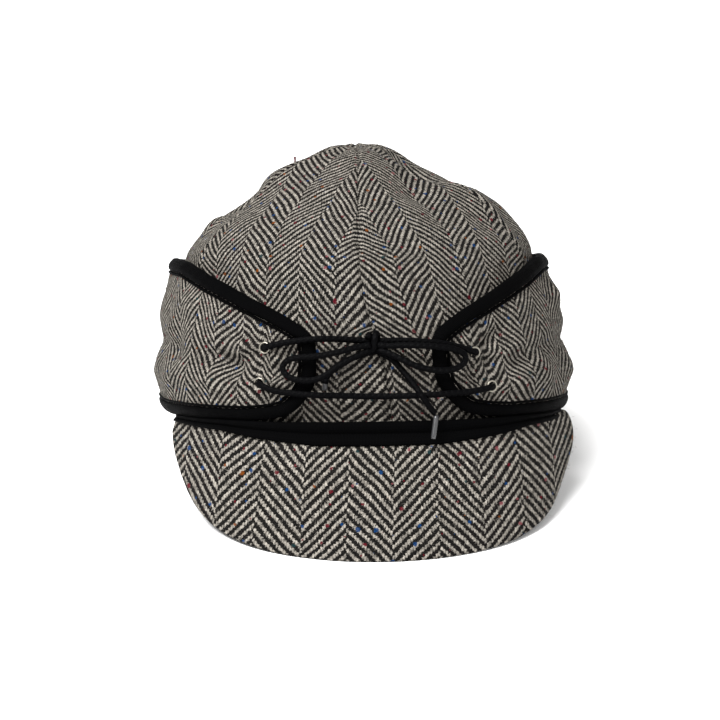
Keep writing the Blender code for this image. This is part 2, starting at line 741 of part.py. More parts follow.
def settle_on_table():
    """Tip the cap about its width and centre the resting cap over the origin."""
    REST_FRAME.rotation_euler = (-REST_TILT, 0, 0)
    lift = HALF_LENGTH * math.sin(REST_TILT)
    REST_FRAME.location = (0, 0, lift)
    bpy.context.view_layer.update()
    graph = bpy.context.evaluated_depsgraph_get()
    corners = []
    for part in PARTS.objects:
        if part.type == "MESH" and part.name != "lace_knot":
            solid = part.evaluated_get(graph)
            corners += [solid.matrix_world @ vert.co for vert in solid.data.vertices]
    middle = [(min(c[axis] for c in corners) + max(c[axis] for c in corners)) / 2 for axis in (0, 1)]
    REST_FRAME.location = (-middle[0], -middle[1], lift)


clear_scene()
PARTS = bpy.data.collections.new("railroad_engineer_cap")
CUTTERS = bpy.data.collections.new("cutters")
bpy.context.scene.collection.children.link(PARTS)
bpy.context.scene.collection.children.link(CUTTERS)
REST_FRAME = bpy.data.objects.new("rest_frame", None)
PARTS.objects.link(REST_FRAME)

make_crown()
make_ear_band()
make_eyelets()
make_visor()
make_joint_tape()
make_lace()
settle_on_table()
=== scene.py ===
"""Railroad engineer cap in herringbone wool tweed, resting on a pale table.

The cap is dressed piece by piece over its frame, in metres, with +Z up and its front towards -Y.
Angles are measured round the crown from the front, in degrees, positive towards +X.
"""
import json
import math

import bmesh
import bpy
import numpy as np
from mathutils import Matrix, Vector, noise
from mathutils.bvhtree import BVHTree


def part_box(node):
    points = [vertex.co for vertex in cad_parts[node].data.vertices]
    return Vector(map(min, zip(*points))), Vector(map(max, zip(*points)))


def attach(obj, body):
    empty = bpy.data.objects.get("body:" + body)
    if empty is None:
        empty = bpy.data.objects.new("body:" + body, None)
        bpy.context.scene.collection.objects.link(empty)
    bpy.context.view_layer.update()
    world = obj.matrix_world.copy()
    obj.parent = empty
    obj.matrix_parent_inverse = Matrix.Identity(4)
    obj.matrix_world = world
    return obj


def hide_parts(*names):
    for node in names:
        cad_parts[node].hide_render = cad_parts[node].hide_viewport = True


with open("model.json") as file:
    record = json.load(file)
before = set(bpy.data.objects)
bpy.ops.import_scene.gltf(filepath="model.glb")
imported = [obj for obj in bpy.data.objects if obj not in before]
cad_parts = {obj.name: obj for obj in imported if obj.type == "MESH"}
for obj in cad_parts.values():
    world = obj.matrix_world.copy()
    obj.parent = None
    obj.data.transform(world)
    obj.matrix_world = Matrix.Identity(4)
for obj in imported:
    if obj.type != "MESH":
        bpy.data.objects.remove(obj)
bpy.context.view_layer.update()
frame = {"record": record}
SCENE = bpy.context.scene.collection

# The view: a long lens a little above the table and a little to the left of the cap's front.
# The cap stands in soft daylight on a white table that runs out of sight.
AIM = Vector((-0.0009, 0.012, 0.046))
CAMERA_AZIMUTH, CAMERA_ELEVATION = math.radians(-3.0), math.radians(17.3)
CAMERA_DISTANCE = 1.4
LENS = 153.85
KEY_PLACE, KEY_SIZE, KEY_POWER = Vector((-0.75, -0.6, 1.7)), 1.3, 105.0
FILL_PLACE, FILL_SIZE, FILL_POWER = Vector((1.1, -1.0, 0.7)), 1.2, 7.0
DAYLIGHT = 0.74
TABLE_SIZE = 14.0
TABLE_WHITE = (0.96, 0.96, 0.96, 1.0)


def placed(name, data):
    """New object in the scene."""
    piece = bpy.data.objects.new(name, data)
    SCENE.objects.link(piece)
    return piece


camera = placed("camera", bpy.data.cameras.new("camera"))
camera.data.lens = LENS
camera.data.sensor_width = 36.0
away = Vector((
    math.sin(CAMERA_AZIMUTH) * math.cos(CAMERA_ELEVATION),
    -math.cos(CAMERA_AZIMUTH) * math.cos(CAMERA_ELEVATION),
    math.sin(CAMERA_ELEVATION),
))
camera.location = AIM + away * CAMERA_DISTANCE
camera.rotation_euler = (-away).to_track_quat("-Z", "Y").to_euler()
bpy.context.scene.camera = camera
bpy.context.scene.view_settings.view_transform = "Standard"

for name, place, size, power in (
    ("key_light", KEY_PLACE, KEY_SIZE, KEY_POWER),
    ("fill_light", FILL_PLACE, FILL_SIZE, FILL_POWER),
):
    lamp = placed(name, bpy.data.lights.new(name, "AREA"))
    lamp.data.size = size
    lamp.data.energy = power
    lamp.location = place
    lamp.rotation_euler = (AIM - place).to_track_quat("-Z", "Y").to_euler()

world = bpy.data.worlds.new("daylight")
world.use_nodes = True
sky = world.node_tree.nodes["Background"]
sky.inputs["Color"].default_value = (1.0, 0.995, 0.985, 1.0)
sky.inputs["Strength"].default_value = DAYLIGHT
bpy.context.scene.world = world

table_mesh = bpy.data.meshes.new("table")
half = TABLE_SIZE / 2
corners = [(-half, -half, 0), (half, -half, 0), (half, half, 0), (-half, half, 0)]
table_mesh.from_pydata(corners, [], [(0, 1, 2, 3)])
table = placed("table", table_mesh)
table_white = bpy.data.materials.new("table_white")
table_white.use_nodes = True
table_shader = table_white.node_tree.nodes["Principled BSDF"]
table_shader.inputs["Base Color"].default_value = TABLE_WHITE
table_shader.inputs["Roughness"].default_value = 0.7
table_mesh.materials.append(table_white)

# Lace: one round braided black cotton cord. It runs straight across the front between the eyelets,
# twice, and its ends come out of the upper run and are tied in a bow over the front seam.
LACE_DIAMETER = 0.0027
LACE_SIDES = 14
LACE_STEP = 0.0011
LACE_ENTRY = ((-0.0018, 0.0), (0.0012, 0.0), (0.0027, 0.25), (0.0031, 0.9))
BRAID_PITCH = 0.0026
KNOT_PLACE = (0.0015, 0.0030, 0.0405)
LACE_ROUTES = {
    "lace_upper_left": (
        # across, off the crown, height above the rim
        (-0.0375, 0.0078, 0.0406), (-0.0300, 0.0077, 0.0418), (-0.0240, 0.0073, 0.0424),
        (-0.0170, 0.0058, 0.0424), (-0.0105, 0.0041, 0.0420), (-0.0044, 0.0032, 0.0414),
        (0.0000, 0.0030, 0.0410),
    ),
    "lace_upper_right": (
        (0.0365, 0.0078, 0.0384), (0.0300, 0.0077, 0.0398), (0.0240, 0.0073, 0.0406),
        (0.0180, 0.0058, 0.0411), (0.0125, 0.0042, 0.0412), (0.0074, 0.0032, 0.0411),
        (0.0034, 0.0030, 0.0410),
    ),
    "lace_lower": (
        (-0.0415, 0.0080, 0.0208), (-0.0330, 0.0077, 0.0196), (-0.0245, 0.0073, 0.0190),
        (-0.0140, 0.0046, 0.0184), (0.0000, 0.0028, 0.0178), (0.0140, 0.0046, 0.0179),
        (0.0245, 0.0073, 0.0183), (0.0330, 0.0077, 0.0187), (0.0415, 0.0080, 0.0190),
    ),
    "bow_left": (
        (0.0000, 0.0050, 0.0396), (-0.0046, 0.0056, 0.0390), (-0.0085, 0.0070, 0.0383),
        (-0.0160, 0.0082, 0.0366), (-0.0240, 0.0090, 0.0354), (-0.0310, 0.0092, 0.0348),
        (-0.0352, 0.0092, 0.0336), (-0.0374, 0.0092, 0.0306), (-0.0356, 0.0092, 0.0272),
        (-0.0304, 0.0092, 0.0254), (-0.0238, 0.0088, 0.0256), (-0.0190, 0.0080, 0.0276),
        (-0.0146, 0.0072, 0.0306), (-0.0100, 0.0062, 0.0332), (-0.0046, 0.0050, 0.0356),
        (-0.0005, 0.0040, 0.0372), (0.0005, 0.0022, 0.0366), (-0.0036, 0.0018, 0.0352),
        (-0.0078, 0.0018, 0.0338), (-0.0125, 0.0019, 0.0316), (-0.0163, 0.0020, 0.0290),
        (-0.0187, 0.0021, 0.0258), (-0.0194, 0.0022, 0.0232),
    ),
    "bow_right": (
        (0.0030, 0.0050, 0.0396), (0.0078, 0.0056, 0.0392), (0.0130, 0.0076, 0.0395),
        (0.0200, 0.0098, 0.0394), (0.0290, 0.0106, 0.0386), (0.0360, 0.0108, 0.0372),
        (0.0402, 0.0104, 0.0346), (0.0400, 0.0100, 0.0318), (0.0370, 0.0098, 0.0296),
        (0.0312, 0.0096, 0.0286), (0.0250, 0.0092, 0.0292), (0.0190, 0.0084, 0.0308),
        (0.0134, 0.0074, 0.0334), (0.0078, 0.0056, 0.0360), (0.0040, 0.0042, 0.0372),
        (0.0030, 0.0024, 0.0366), (0.0060, 0.0020, 0.0352), (0.0096, 0.0022, 0.0328),
        (0.0130, 0.0030, 0.0290), (0.0164, 0.0058, 0.0250), (0.0194, 0.0094, 0.0210),
        (0.0222, 0.0104, 0.0168), (0.0248, 0.0100, 0.0130), (0.0268, 0.0100, 0.0106),
    ),
}
LACE_ENDS = {
    # piece: the eyelets at its ends, the solids it stands for, where it goes, how it lies
    "lace_upper_left": (("eyelet_left_upper",), ("lace_upper_left",), "knot", "taut"),
    "lace_upper_right": (("eyelet_right_upper",), ("lace_upper_right",), "knot", "taut"),
    "lace_lower": (("eyelet_left_lower", "eyelet_right_lower"), ("lace_lower",), "object", "taut"),
    "bow_left": ((), ("bow_loop_left", "lace_end_left"), "fitting", "loose"),
    "bow_right": ((), ("bow_loop_right", "lace_end_right"), "fitting", "loose"),
}

# The cap's own upright frame: the resting cap is tipped on to its visor, so the plane of its rim
# and the way up through its crown are read from the mount of the head opening.
mouth = next(mount for mount in frame["record"]["mounts"] if mount["name"] == "head_opening")
RIM_MIDDLE = Vector(mouth["pos_m"])
UP = -Vector(mouth["axis"]).normalized()
ACROSS = Vector((1, 0, 0))
BACK = UP.cross(ACROSS)
CAP = Matrix.Translation(RIM_MIDDLE) @ Matrix((ACROSS, BACK, UP)).transposed().to_4x4()
INTO_CAP = CAP.inverted()
LEAN, LEAN_HEIGHT = 0.0032, 0.075
CAP_REACH = 0.3


def skin(*nodes):
    """Surface of some of the frame's solids, to lay cloth and cord on, with its nodes' names."""
    places, faces, owners = [], [], []
    for node in nodes:
        solid = bpy.data.objects[node]
        start = len(places)
        places += [INTO_CAP @ solid.matrix_world @ vert.co for vert in solid.data.vertices]
        faces += [[start + corner for corner in face.vertices] for face in solid.data.polygons]
        owners += [node] * len(solid.data.polygons)
    return BVHTree.FromPolygons(places, faces), owners


def lean_at(angle, height):
    """How far the soft cap leans towards +X at an angle and a height above its rim."""
    low = np.clip(1 - height / LEAN_HEIGHT, 0, 1)
    return LEAN * low * (0.5 + 0.5 * math.cos(math.radians(angle)))


SEAM_NUDGES = (0.0, 0.4, -0.4, 0.9, -0.9)
LEAST_RADIUS = 0.03


def wall_radius(surface, angle, height):
    """Distance from the cap's leaning axis out to a surface, or nothing where it is missed. In the
    gap of a seam it is the distance beside the seam."""
    axis = Vector((lean_at(angle, height), 0, height))
    for nudge in SEAM_NUDGES:
        turn = math.radians(angle + nudge)
        outward = Vector((math.sin(turn), -math.cos(turn), 0))
        hit = surface[0].ray_cast(axis + outward * CAP_REACH, -outward)[0]
        if hit is not None and (hit - axis).dot(outward) > LEAST_RADIUS:
            return (hit - axis).dot(outward)
    return None


def round_axis(radius, angle, height):
    """Point in the cap's frame at a distance from its leaning axis."""
    turn = math.radians(angle)
    return Vector((lean_at(angle, height) + radius * math.sin(turn), -radius * math.cos(turn), height))


CROWN_PANELS = (
    # node, where the cloth's pattern has its first peak, from the panel's middle
    ("crown_front_right", -0.0165),
    ("crown_side_right", 0.004),
    ("crown_back_right", 0.010),
    ("crown_back_left", 0.002),
    ("crown_side_left", -0.006),
    ("crown_front_left", 0.018),
)
CROWN_SKIN = skin(*(row[0] for row in CROWN_PANELS))


def linked(tree, kind, inputs=None, **settings):
    """New node with its settings, and with its inputs set to values or linked to sockets."""
    node = tree.nodes.new(kind)
    for key, value in settings.items():
        setattr(node, key, value)
    for name, value in (inputs or {}).items():
        if isinstance(value, bpy.types.NodeSocket):
            tree.links.new(value, node.inputs[name])
        else:
            node.inputs[name].default_value = value
    return node


def math_node(tree, operation, *values):
    """One step of a formula, of numbers and sockets."""
    return linked(tree, "ShaderNodeMath", dict(enumerate(values)), operation=operation).outputs[0]


def ramp_node(tree, fac, dark, light):
    """Colour ramp between two stops, each a position and a colour."""
    ramp = linked(tree, "ShaderNodeValToRGB", {"Fac": fac})
    for element, (position, color) in zip(ramp.color_ramp.elements, (dark, light)):
        element.position = position
        element.color = (*color, 1)
    return ramp


def new_material(name, color, roughness, metallic=0.0, specular=0.5):
    material = bpy.data.materials.new(name)
    material.use_nodes = True
    shader = material.node_tree.nodes["Principled BSDF"]
    shader.inputs["Base Color"].default_value = (*color, 1.0)
    shader.inputs["Roughness"].default_value = roughness
    shader.inputs["Metallic"].default_value = metallic
    shader.inputs["Specular IOR Level"].default_value = specular
    return material, material.node_tree, shader


def cloth_place(tree):
    """The piece's own UV map, and its two axes in metres."""
    where = linked(tree, "ShaderNodeUVMap", uv_map="cloth").outputs[0]
    parts = linked(tree, "ShaderNodeSeparateXYZ", {0: where})
    return where, parts.outputs[0], parts.outputs[1]


def bumped(tree, shader, height, strength, distance):
    """Raise the surface by a pattern's height."""
    bump = linked(
        tree, "ShaderNodeBump", {"Strength": strength, "Distance": distance, "Height": height},
    )
    tree.links.new(bump.outputs[0], shader.inputs["Normal"])


def speckled(tree, shader, scale, dark, light):
    """Colour the piece by a fine noise on its own coordinates, between two stops."""
    where = linked(tree, "ShaderNodeTexCoord").outputs["Object"]
    grain = linked(tree, "ShaderNodeTexNoise", {"Scale": scale, "Vector": where})
    ramp = ramp_node(tree, grain.outputs["Fac"], dark, light)
    tree.links.new(ramp.outputs["Color"], shader.inputs["Base Color"])


def finished(name, mesh, material, nodes):
    """Make a piece of the cap from a mesh in the cap's own frame, in place of some of its solids."""
    mesh.transform(CAP)
    mesh.materials.append(material)
    mesh.shade_smooth()
    piece = placed(name, mesh)
    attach(piece, "root")
    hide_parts(*nodes)
    return piece


def off_crown(across, away, height):
    """Point in front of the crown, given across, its distance off the cloth, and its height."""
    angle = math.degrees(math.asin(across / 0.1))
    for _ in range(5):
        radius = wall_radius(CROWN_SKIN, angle, max(0.001, height)) + away
        shift = lean_at(angle, height)
        angle = math.degrees(math.asin((across - shift) / radius))
    return round_axis(radius, angle, height)


def lengths_along(points):
    """Distance of each point from the first one, along the path through them all."""
    steps = [(Vector(q) - Vector(p)).length for p, q in zip(points, points[1:])]
    return np.cumsum([0.0] + steps)


def smooth_route(points, spacing):
    """Evenly spaced points on a smooth curve through the route's own points."""
    fine = []
    padded = [points[0] * 2 - points[1], *points, points[-1] * 2 - points[-2]]
    for a, b, c, d in zip(padded, padded[1:], padded[2:], padded[3:]):
        first, middle, last = ((q - p).length ** 0.5 for p, q in ((a, b), (b, c), (c, d)))
        leave = ((b - a) / first - (c - a) / (first + middle) + (c - b) / middle) * middle
        arrive = ((c - b) / middle - (d - b) / (middle + last) + (d - c) / last) * middle
        for t in (k / 12 for k in range(12)):
            bend = 2 * (b - c) + leave + arrive
            fine.append(b + t * (leave + t * (3 * (c - b) - 2 * leave - arrive + t * bend)))
    fine.append(points[-1])
    lengths = lengths_along(fine)
    marks = np.linspace(0, lengths[-1], max(3, round(lengths[-1] / spacing) + 1))
    axes = [np.interp(marks, lengths, [point[i] for point in fine]) for i in range(3)]
    return [Vector(point) for point in zip(*axes)]


def mesh_of(bm, name):
    mesh = bpy.data.meshes.new(name)
    bm.to_mesh(mesh)
    bm.free()
    return mesh


def strip_mesh(name, sections, cloth):
    """Closed strip through like sections. Cloth gives a corner's UV from its section and its place."""
    bm = bmesh.new()
    uv = bm.loops.layers.uv.new("cloth")
    rings = [[bm.verts.new(point) for point in section] for section in sections]
    sides = len(rings[0])
    for i, (ring, after) in enumerate(zip(rings, rings[1:])):
        for k in range(sides):
            j = (k + 1) % sides
            face = bm.faces.new((ring[k], ring[j], after[j], after[k]))
            corners = ((i, k), (i, k + 1), (i + 1, k + 1), (i + 1, k))
            for loop, corner in zip(face.loops, corners):
                loop[uv].uv = cloth(*corner)
    bm.faces.new(rings[0][::-1])
    bm.faces.new(rings[-1])
    bmesh.ops.recalc_face_normals(bm, faces=bm.faces)
    return mesh_of(bm, name)


def tube_mesh(name, path, radii, sides):
    """Round tube along a path with closed ends; its UV map runs round and along it, in metres."""
    along = [(q - p).normalized() for p, q in zip(path[:-1], path[1:])]
    along = [along[0]] + [(a + b).normalized() for a, b in zip(along, along[1:])] + [along[-1]]
    turns = [2 * math.pi * k / sides for k in range(sides)]
    side = along[0].orthogonal().normalized()
    sections = []
    for point, ahead, radius in zip(path, along, radii):
        side = (side - ahead * side.dot(ahead)).normalized()
        other = ahead.cross(side)
        sections.append([point + (side * math.cos(t) + other * math.sin(t)) * radius for t in turns])
    lengths = lengths_along(path)
    girth = 2 * math.pi * max(radii)
    return strip_mesh(name, sections, lambda row, column: (girth * column / sides, lengths[row]))


def braided_cord():
    """Black cotton braid: two crossing sets of slanting strands, soft and nearly matt."""
    material, tree, shader = new_material(
        "black_braided_cord", (0.0010, 0.0010, 0.0012), 0.5, specular=0.02,
    )
    _, across, along = cloth_place(tree)
    turn = math_node(tree, "MULTIPLY", across, 8 / LACE_DIAMETER)
    run = math_node(tree, "MULTIPLY", along, 2 * math.pi / BRAID_PITCH)
    left = math_node(tree, "SINE", math_node(tree, "ADD", turn, run))
    right = math_node(tree, "SINE", math_node(tree, "SUBTRACT", turn, run))
    bumped(tree, shader, math_node(tree, "MAXIMUM", left, right), 0.7, 0.00018)
    return material


def eyelet_place(name):
    """Middle of an eyelet in the cap's frame, and the way straight out of the cloth there."""
    low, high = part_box(name)
    middle = INTO_CAP @ ((Vector(low) + Vector(high)) / 2)
    angle = math.degrees(math.atan2(middle.x, -middle.y))
    before, after = (
        round_axis(wall_radius(CROWN_SKIN, turn, middle.z), turn, middle.z)
        for turn in (angle - 4, angle + 4)
    )
    outward = (after - before).cross(Vector((0, 0, 1))).normalized()
    return middle, outward


CORD = braided_cord()
for name, (eyelets, solids, far_end, lay) in LACE_ENDS.items():
    points = [off_crown(*row) for row in LACE_ROUTES[name]]
    for i, eyelet in enumerate(eyelets):
        middle, outward = eyelet_place(eyelet)
        onward = points[0] if i == 0 else points[-1]
        aside = onward - middle
        aside = (aside - outward * aside.dot(outward)).normalized() * LACE_DIAMETER
        entry = [middle + outward * out + aside * share for out, share in LACE_ENTRY]
        points = entry + points if i == 0 else points + entry[::-1]
    route = smooth_route(points, LACE_STEP)
    mesh = tube_mesh(name, route, [LACE_DIAMETER / 2] * len(route), LACE_SIDES)
    piece = finished(f"cord_{name}", mesh, CORD, solids)

# Knot of the bow: the same lace wound once and a half round both its ends. It holds by being
# pulled tight, which squashes it flat against the front seam.
KNOT_TURNS = 1.6
KNOT_HALF_DEPTH, KNOT_HALF_HEIGHT = 0.0022, 0.0036
KNOT_WIDTH = 0.0048
knot_middle = off_crown(*KNOT_PLACE)
knot_path = []
for t in np.linspace(0, 1, 46):
    turn = 2 * math.pi * KNOT_TURNS * t + 0.8
    knot_path.append(knot_middle + Vector((
        (t - 0.5) * KNOT_WIDTH,
        -math.cos(turn) * KNOT_HALF_DEPTH,
        math.sin(turn) * KNOT_HALF_HEIGHT + (t - 0.5) * 0.0012,
    )))
knot = finished(
    "bow_knot", tube_mesh("bow_knot", knot_path, [LACE_DIAMETER * 0.54] * len(knot_path), LACE_SIDES),
    CORD, ("lace_knot",),
)

# Lace tips: each end of the cord is wound tightly in a thin film of clear grey plastic. It keeps the
# braid from fraying and makes it stiff enough to thread through an eyelet.
TIP_ROUTES = {
    "left": ((-0.0194, 0.0022, 0.0232), (-0.0196, 0.0024, 0.0205)),
    "right": ((0.0272, 0.0101, 0.0099), (0.0256, 0.0124, 0.0002)),
}
TIP_DIAMETER = 0.0022
film, film_tree, film_shader = new_material("grey_plastic_film", (0.30, 0.30, 0.31), 0.28)
film_shader.inputs["Coat Weight"].default_value = 0.1
speckled(film_tree, film_shader, 900, (0, (0.008, 0.008, 0.009)), (1, (0.034, 0.034, 0.036)))
for side, rows in TIP_ROUTES.items():
    ends = [off_crown(*row) for row in rows]
    path = [ends[0].lerp(ends[1], t) for t in np.linspace(0, 1, 9)]
    radii = [TIP_DIAMETER / 2 * (0.94 if i in (0, 8) else 1.0) for i in range(9)]
    finished(
        f"tip_{side}", tube_mesh(f"tip_{side}", path, radii, LACE_SIDES), film,
        (f"lace_tip_{side}",),
    )

# Crown: six gores of woollen tweed, woven in a herringbone of cream warp and black weft with flecks
# of coloured wool. They are sewn together with their edges turned in, so each seam is a soft ridge.
GORE_COLUMNS = 44
CROWN_ROWS = 120
CROWN_CENTRE = -0.02
CROWN_CLOTH = 0.0018
CROWN_EASE, SEAM_EASE = 6, 10
RIM_SEARCH, RIM_MARGIN = (4, 24), 0.05
TOP_RISE = 89.0
ROW_CROWDING = 0.94
SEAM_SEARCH, SEAM_TOP_SHARE = 14, 0.985
SEAM_SWELL, SEAM_SWELL_WIDTH = 0.0009, 0.0060
SEAM_GROOVE, SEAM_GROOVE_WIDTH = 0.0010, 0.0009
TURN_IN = (0.0011, 0.0028)
FOLD, FINE_FOLD, SLACK = 0.0016, 0.0009, 0.0007
FOLD_SIZE, FINE_FOLD_SIZE = (0.030, 0.030, 0.038), (0.013, 0.013, 0.017)
SEAM_FADE = 0.012
HERRINGBONE_WIDTH = 0.0160
FRONT_VALLEY = 0.034
ENDS_PER_COLUMN = 18
PICK = 0.00095
STAIR = 0.75
YARN_JITTER = 0.0016
CREAM = (0.200, 0.184, 0.160)
BLACK = (0.0012, 0.0012, 0.0013)
BLACK_HAIRY = (0.022, 0.020, 0.018)
FLECKS = (
    # where each colour starts among the flecks: blue, red, rust, pink, teal
    (0.00, (0.003, 0.022, 0.075)), (0.36, (0.060, 0.003, 0.007)), (0.66, (0.100, 0.026, 0.003)),
    (0.80, (0.120, 0.035, 0.040)), (0.92, (0.006, 0.018, 0.020)),
)
TWEED_SHEETS = []


def eased(field, passes, ring=False):
    """Field with its facets smoothed away, row by row and, round a ring, column by column."""
    for _ in range(passes):
        up = field.copy()
        up[1:-1] = (field[:-2] + 2 * field[1:-1] + field[2:]) / 4
        if ring:
            field = (np.roll(up, 1, axis=1) + 2 * up + np.roll(up, -1, axis=1)) / 4
        else:
            field = up.copy()
            field[:, 1:-1] = (up[:, :-2] + 2 * up[:, 1:-1] + up[:, 2:]) / 4
    return field


def grid_mesh(name, points, cloth):
    """Sheet through a grid of points, rows up and columns towards +X, with the cloth's own UV map."""
    rows, columns = points.shape[:2]
    number = np.arange(rows * columns).reshape(rows, columns)
    quads = np.stack([number[:-1, :-1], number[:-1, 1:], number[1:, 1:], number[1:, :-1]], axis=-1)
    mesh = bpy.data.meshes.new(name)
    mesh.from_pydata(points.reshape(-1, 3).tolist(), [], quads.reshape(-1, 4).tolist())
    uv = mesh.uv_layers.new(name="cloth")
    corners = np.empty(len(mesh.loops), dtype=np.int32)
    mesh.loops.foreach_get("vertex_index", corners)
    uv.data.foreach_set("uv", cloth.reshape(-1, 2)[corners].astype(np.float32).ravel())
    return mesh


def grid_normals(points):
    """Outward normal at each point of a grid of rows up and columns towards +X."""
    normals = np.cross(np.gradient(points, axis=1), np.gradient(points, axis=0))
    return normals / np.maximum(np.linalg.norm(normals, axis=2, keepdims=True), 1e-12)


def thickened(piece, thickness):
    """Give a sheet its cloth's thickness, inwards."""
    wall = piece.modifiers.new("cloth", "SOLIDIFY")
    wall.thickness = thickness
    wall.offset = -1.0
    return piece


def tweed(name, drift=0.0026):
    """Herringbone tweed on the cloth's UV map. Each cream end floats over two black picks and back
    under two; the step turns round and breaks at each column's edge. Drift makes columns wander."""
    material, tree, shader = new_material(name, CREAM, 0.95, specular=0.03)
    where = linked(tree, "ShaderNodeUVMap", uv_map="cloth").outputs[0]

    def step(operation, *values):
        return math_node(tree, operation, *values)

    def noise_at(scale, detail=2.0, source=where):
        settings = {"Scale": scale, "Detail": detail, "Vector": source}
        return linked(tree, "ShaderNodeTexNoise", settings).outputs

    def shifted(vector, cloud, amount):
        kind = "ShaderNodeVectorMath"
        centred = linked(tree, kind, {0: cloud["Color"], 1: (0.5, 0.5, 0.5)}, operation="SUBTRACT")
        scaled = linked(tree, kind, {0: centred.outputs[0], "Scale": amount}, operation="SCALE")
        return linked(tree, kind, {0: vector, 1: scaled.outputs[0]}, operation="ADD").outputs[0]

    place = shifted(where, noise_at(38.0, 1.0), drift * 2)
    place = shifted(place, noise_at(1500.0), YARN_JITTER)
    parts = linked(tree, "ShaderNodeSeparateXYZ", {0: place})

    # Counts of warp ends from the column's edge, and of weft picks
    end = step("PINGPONG", parts.outputs[0], HERRINGBONE_WIDTH)
    end = step("MULTIPLY", end, ENDS_PER_COLUMN / HERRINGBONE_WIDTH)
    pick = step("MULTIPLY", parts.outputs[1], 1 / PICK)
    column = step("FLOOR", step("MULTIPLY", parts.outputs[0], 1 / HERRINGBONE_WIDTH))
    turned = step("MULTIPLY", step("FLOORED_MODULO", column, 2.0), 2.0)

    def float_height(along, across, start):
        """Rounded height of a yarn that floats over two crossings, in softened steps of four."""
        stair = step("MULTIPLY", step("FLOOR", across), STAIR)
        slant = step("ADD", step("MULTIPLY", across, 1 - STAIR), stair)
        run = step("FLOORED_MODULO", step("ADD", step("ADD", along, slant), start), 4.0)
        run = step("MULTIPLY", step("SUBTRACT", run, 2.0), 0.76)
        beside = step("MULTIPLY", step("SUBTRACT", step("FRACT", across), 0.5), 1.5)
        long, thick = (step("POWER", step("ABSOLUTE", value), 2.0) for value in (run, beside))
        return step("SUBTRACT", 1.0, step("ADD", long, thick))

    cream_height = float_height(pick, end, turned)
    black_height = float_height(end, pick, step("ADD", turned, 2.0))
    shade = linked(tree, "ShaderNodeMapRange", {
        "Value": step("SUBTRACT", cream_height, black_height), "From Min": 0.02, "From Max": 0.46,
    }, interpolation_type="SMOOTHSTEP")

    # Each yarn is uneven, and a few pale hairs lie over the black one
    slub = noise_at(620.0, 4.0, place)["Fac"]
    hair = noise_at(2600.0)["Fac"]
    cream = ramp_node(
        tree, slub, (0.30, [c * 0.34 for c in CREAM]), (0.72, [c * 1.55 for c in CREAM]),
    )
    # Painted shade: the cream yarn is darkened towards the ends and sides of each float, where it dips
    # under the black yarn, as shade falling in the hollows of the weave
    painted_dip_shade = linked(tree, "ShaderNodeMapRange", {
        "Value": cream_height, "From Min": 0.05, "From Max": 0.80, "To Min": 0.22,
    })
    cream_with_painted_shade = linked(tree, "ShaderNodeMix", {
        "Factor": 1.0, "A": cream.outputs["Color"], "B": painted_dip_shade.outputs["Result"],
    }, data_type="RGBA", blend_type="MULTIPLY")
    black = ramp_node(tree, hair, (0.42, BLACK), (0.80, BLACK_HAIRY))
    yarn = linked(tree, "ShaderNodeMix", {
        "Factor": shade.outputs["Result"], "A": black.outputs["Color"], "B": cream_with_painted_shade.outputs["Result"],
    }, data_type="RGBA")

    # Flecks: small tufts of red, blue, rust and pink wool spun into the yarn
    tufts = linked(tree, "ShaderNodeTexVoronoi", {
        "Scale": 150.0, "Vector": shifted(where, noise_at(700.0, 1.0), 0.0011),
    }, voronoi_dimensions="2D")
    chance = linked(tree, "ShaderNodeSeparateColor", {"Color": tufts.outputs["Color"]})
    hue = ramp_node(tree, chance.outputs["Red"], FLECKS[0], (1.0, FLECKS[-1][1]))
    hue.color_ramp.interpolation = "CONSTANT"
    for position, color in FLECKS[1:]:
        hue.color_ramp.elements.new(position).color = (*color, 1)
    size = step("ADD", step("MULTIPLY", chance.outputs["Green"], 0.13), 0.02)
    inside = step("MULTIPLY", step("SUBTRACT", size, tufts.outputs["Distance"]), 26.0)
    inside = step("MINIMUM", step("MAXIMUM", inside, 0.0), 0.92)
    flecked = linked(tree, "ShaderNodeMix", {
        "Factor": inside, "A": yarn.outputs["Result"], "B": hue.outputs["Color"],
    }, data_type="RGBA")
    tree.links.new(flecked.outputs["Result"], shader.inputs["Base Color"])
    height = step("MAXIMUM", cream_height, black_height)
    bumped(tree, shader, step("ADD", height, step("MULTIPLY", hair, 0.8)), 0.85, 0.00045)
    return material


def crown_hit(angle, rise):
    """Distance from the crown's centre to its outside, and the panel there, at two angles."""
    centre = Vector((0, 0, CROWN_CENTRE))
    for nudge in SEAM_NUDGES:
        turn, tilt = math.radians(angle + nudge), math.radians(rise)
        level = math.cos(tilt)
        outward = Vector((math.sin(turn) * level, -math.cos(turn) * level, math.sin(tilt)))
        hit, _, number, _ = CROWN_SKIN[0].ray_cast(centre + outward * CAP_REACH, -outward)
        if hit is not None and (hit - centre).dot(outward) > LEAST_RADIUS:
            return (hit - centre).dot(outward), CROWN_SKIN[1][number]
    return None, None


def between(test, low, high, steps=14):
    """Where a test turns from false at low to true at high."""
    for _ in range(steps):
        middle = (low + high) / 2
        low, high = (low, middle) if test(middle) else (middle, high)
    return (low + high) / 2


rim_rises = [
    between(lambda rise: crown_hit(angle, rise)[0] is not None, *RIM_SEARCH) + RIM_MARGIN
    for angle in range(361)
]


def rise_at(share, angle):
    """Angle up from the crown's centre at a share of the way from its rim to its top."""
    rim = np.interp(angle % 360, range(361), rim_rises)
    return rim + (TOP_RISE - rim) * share


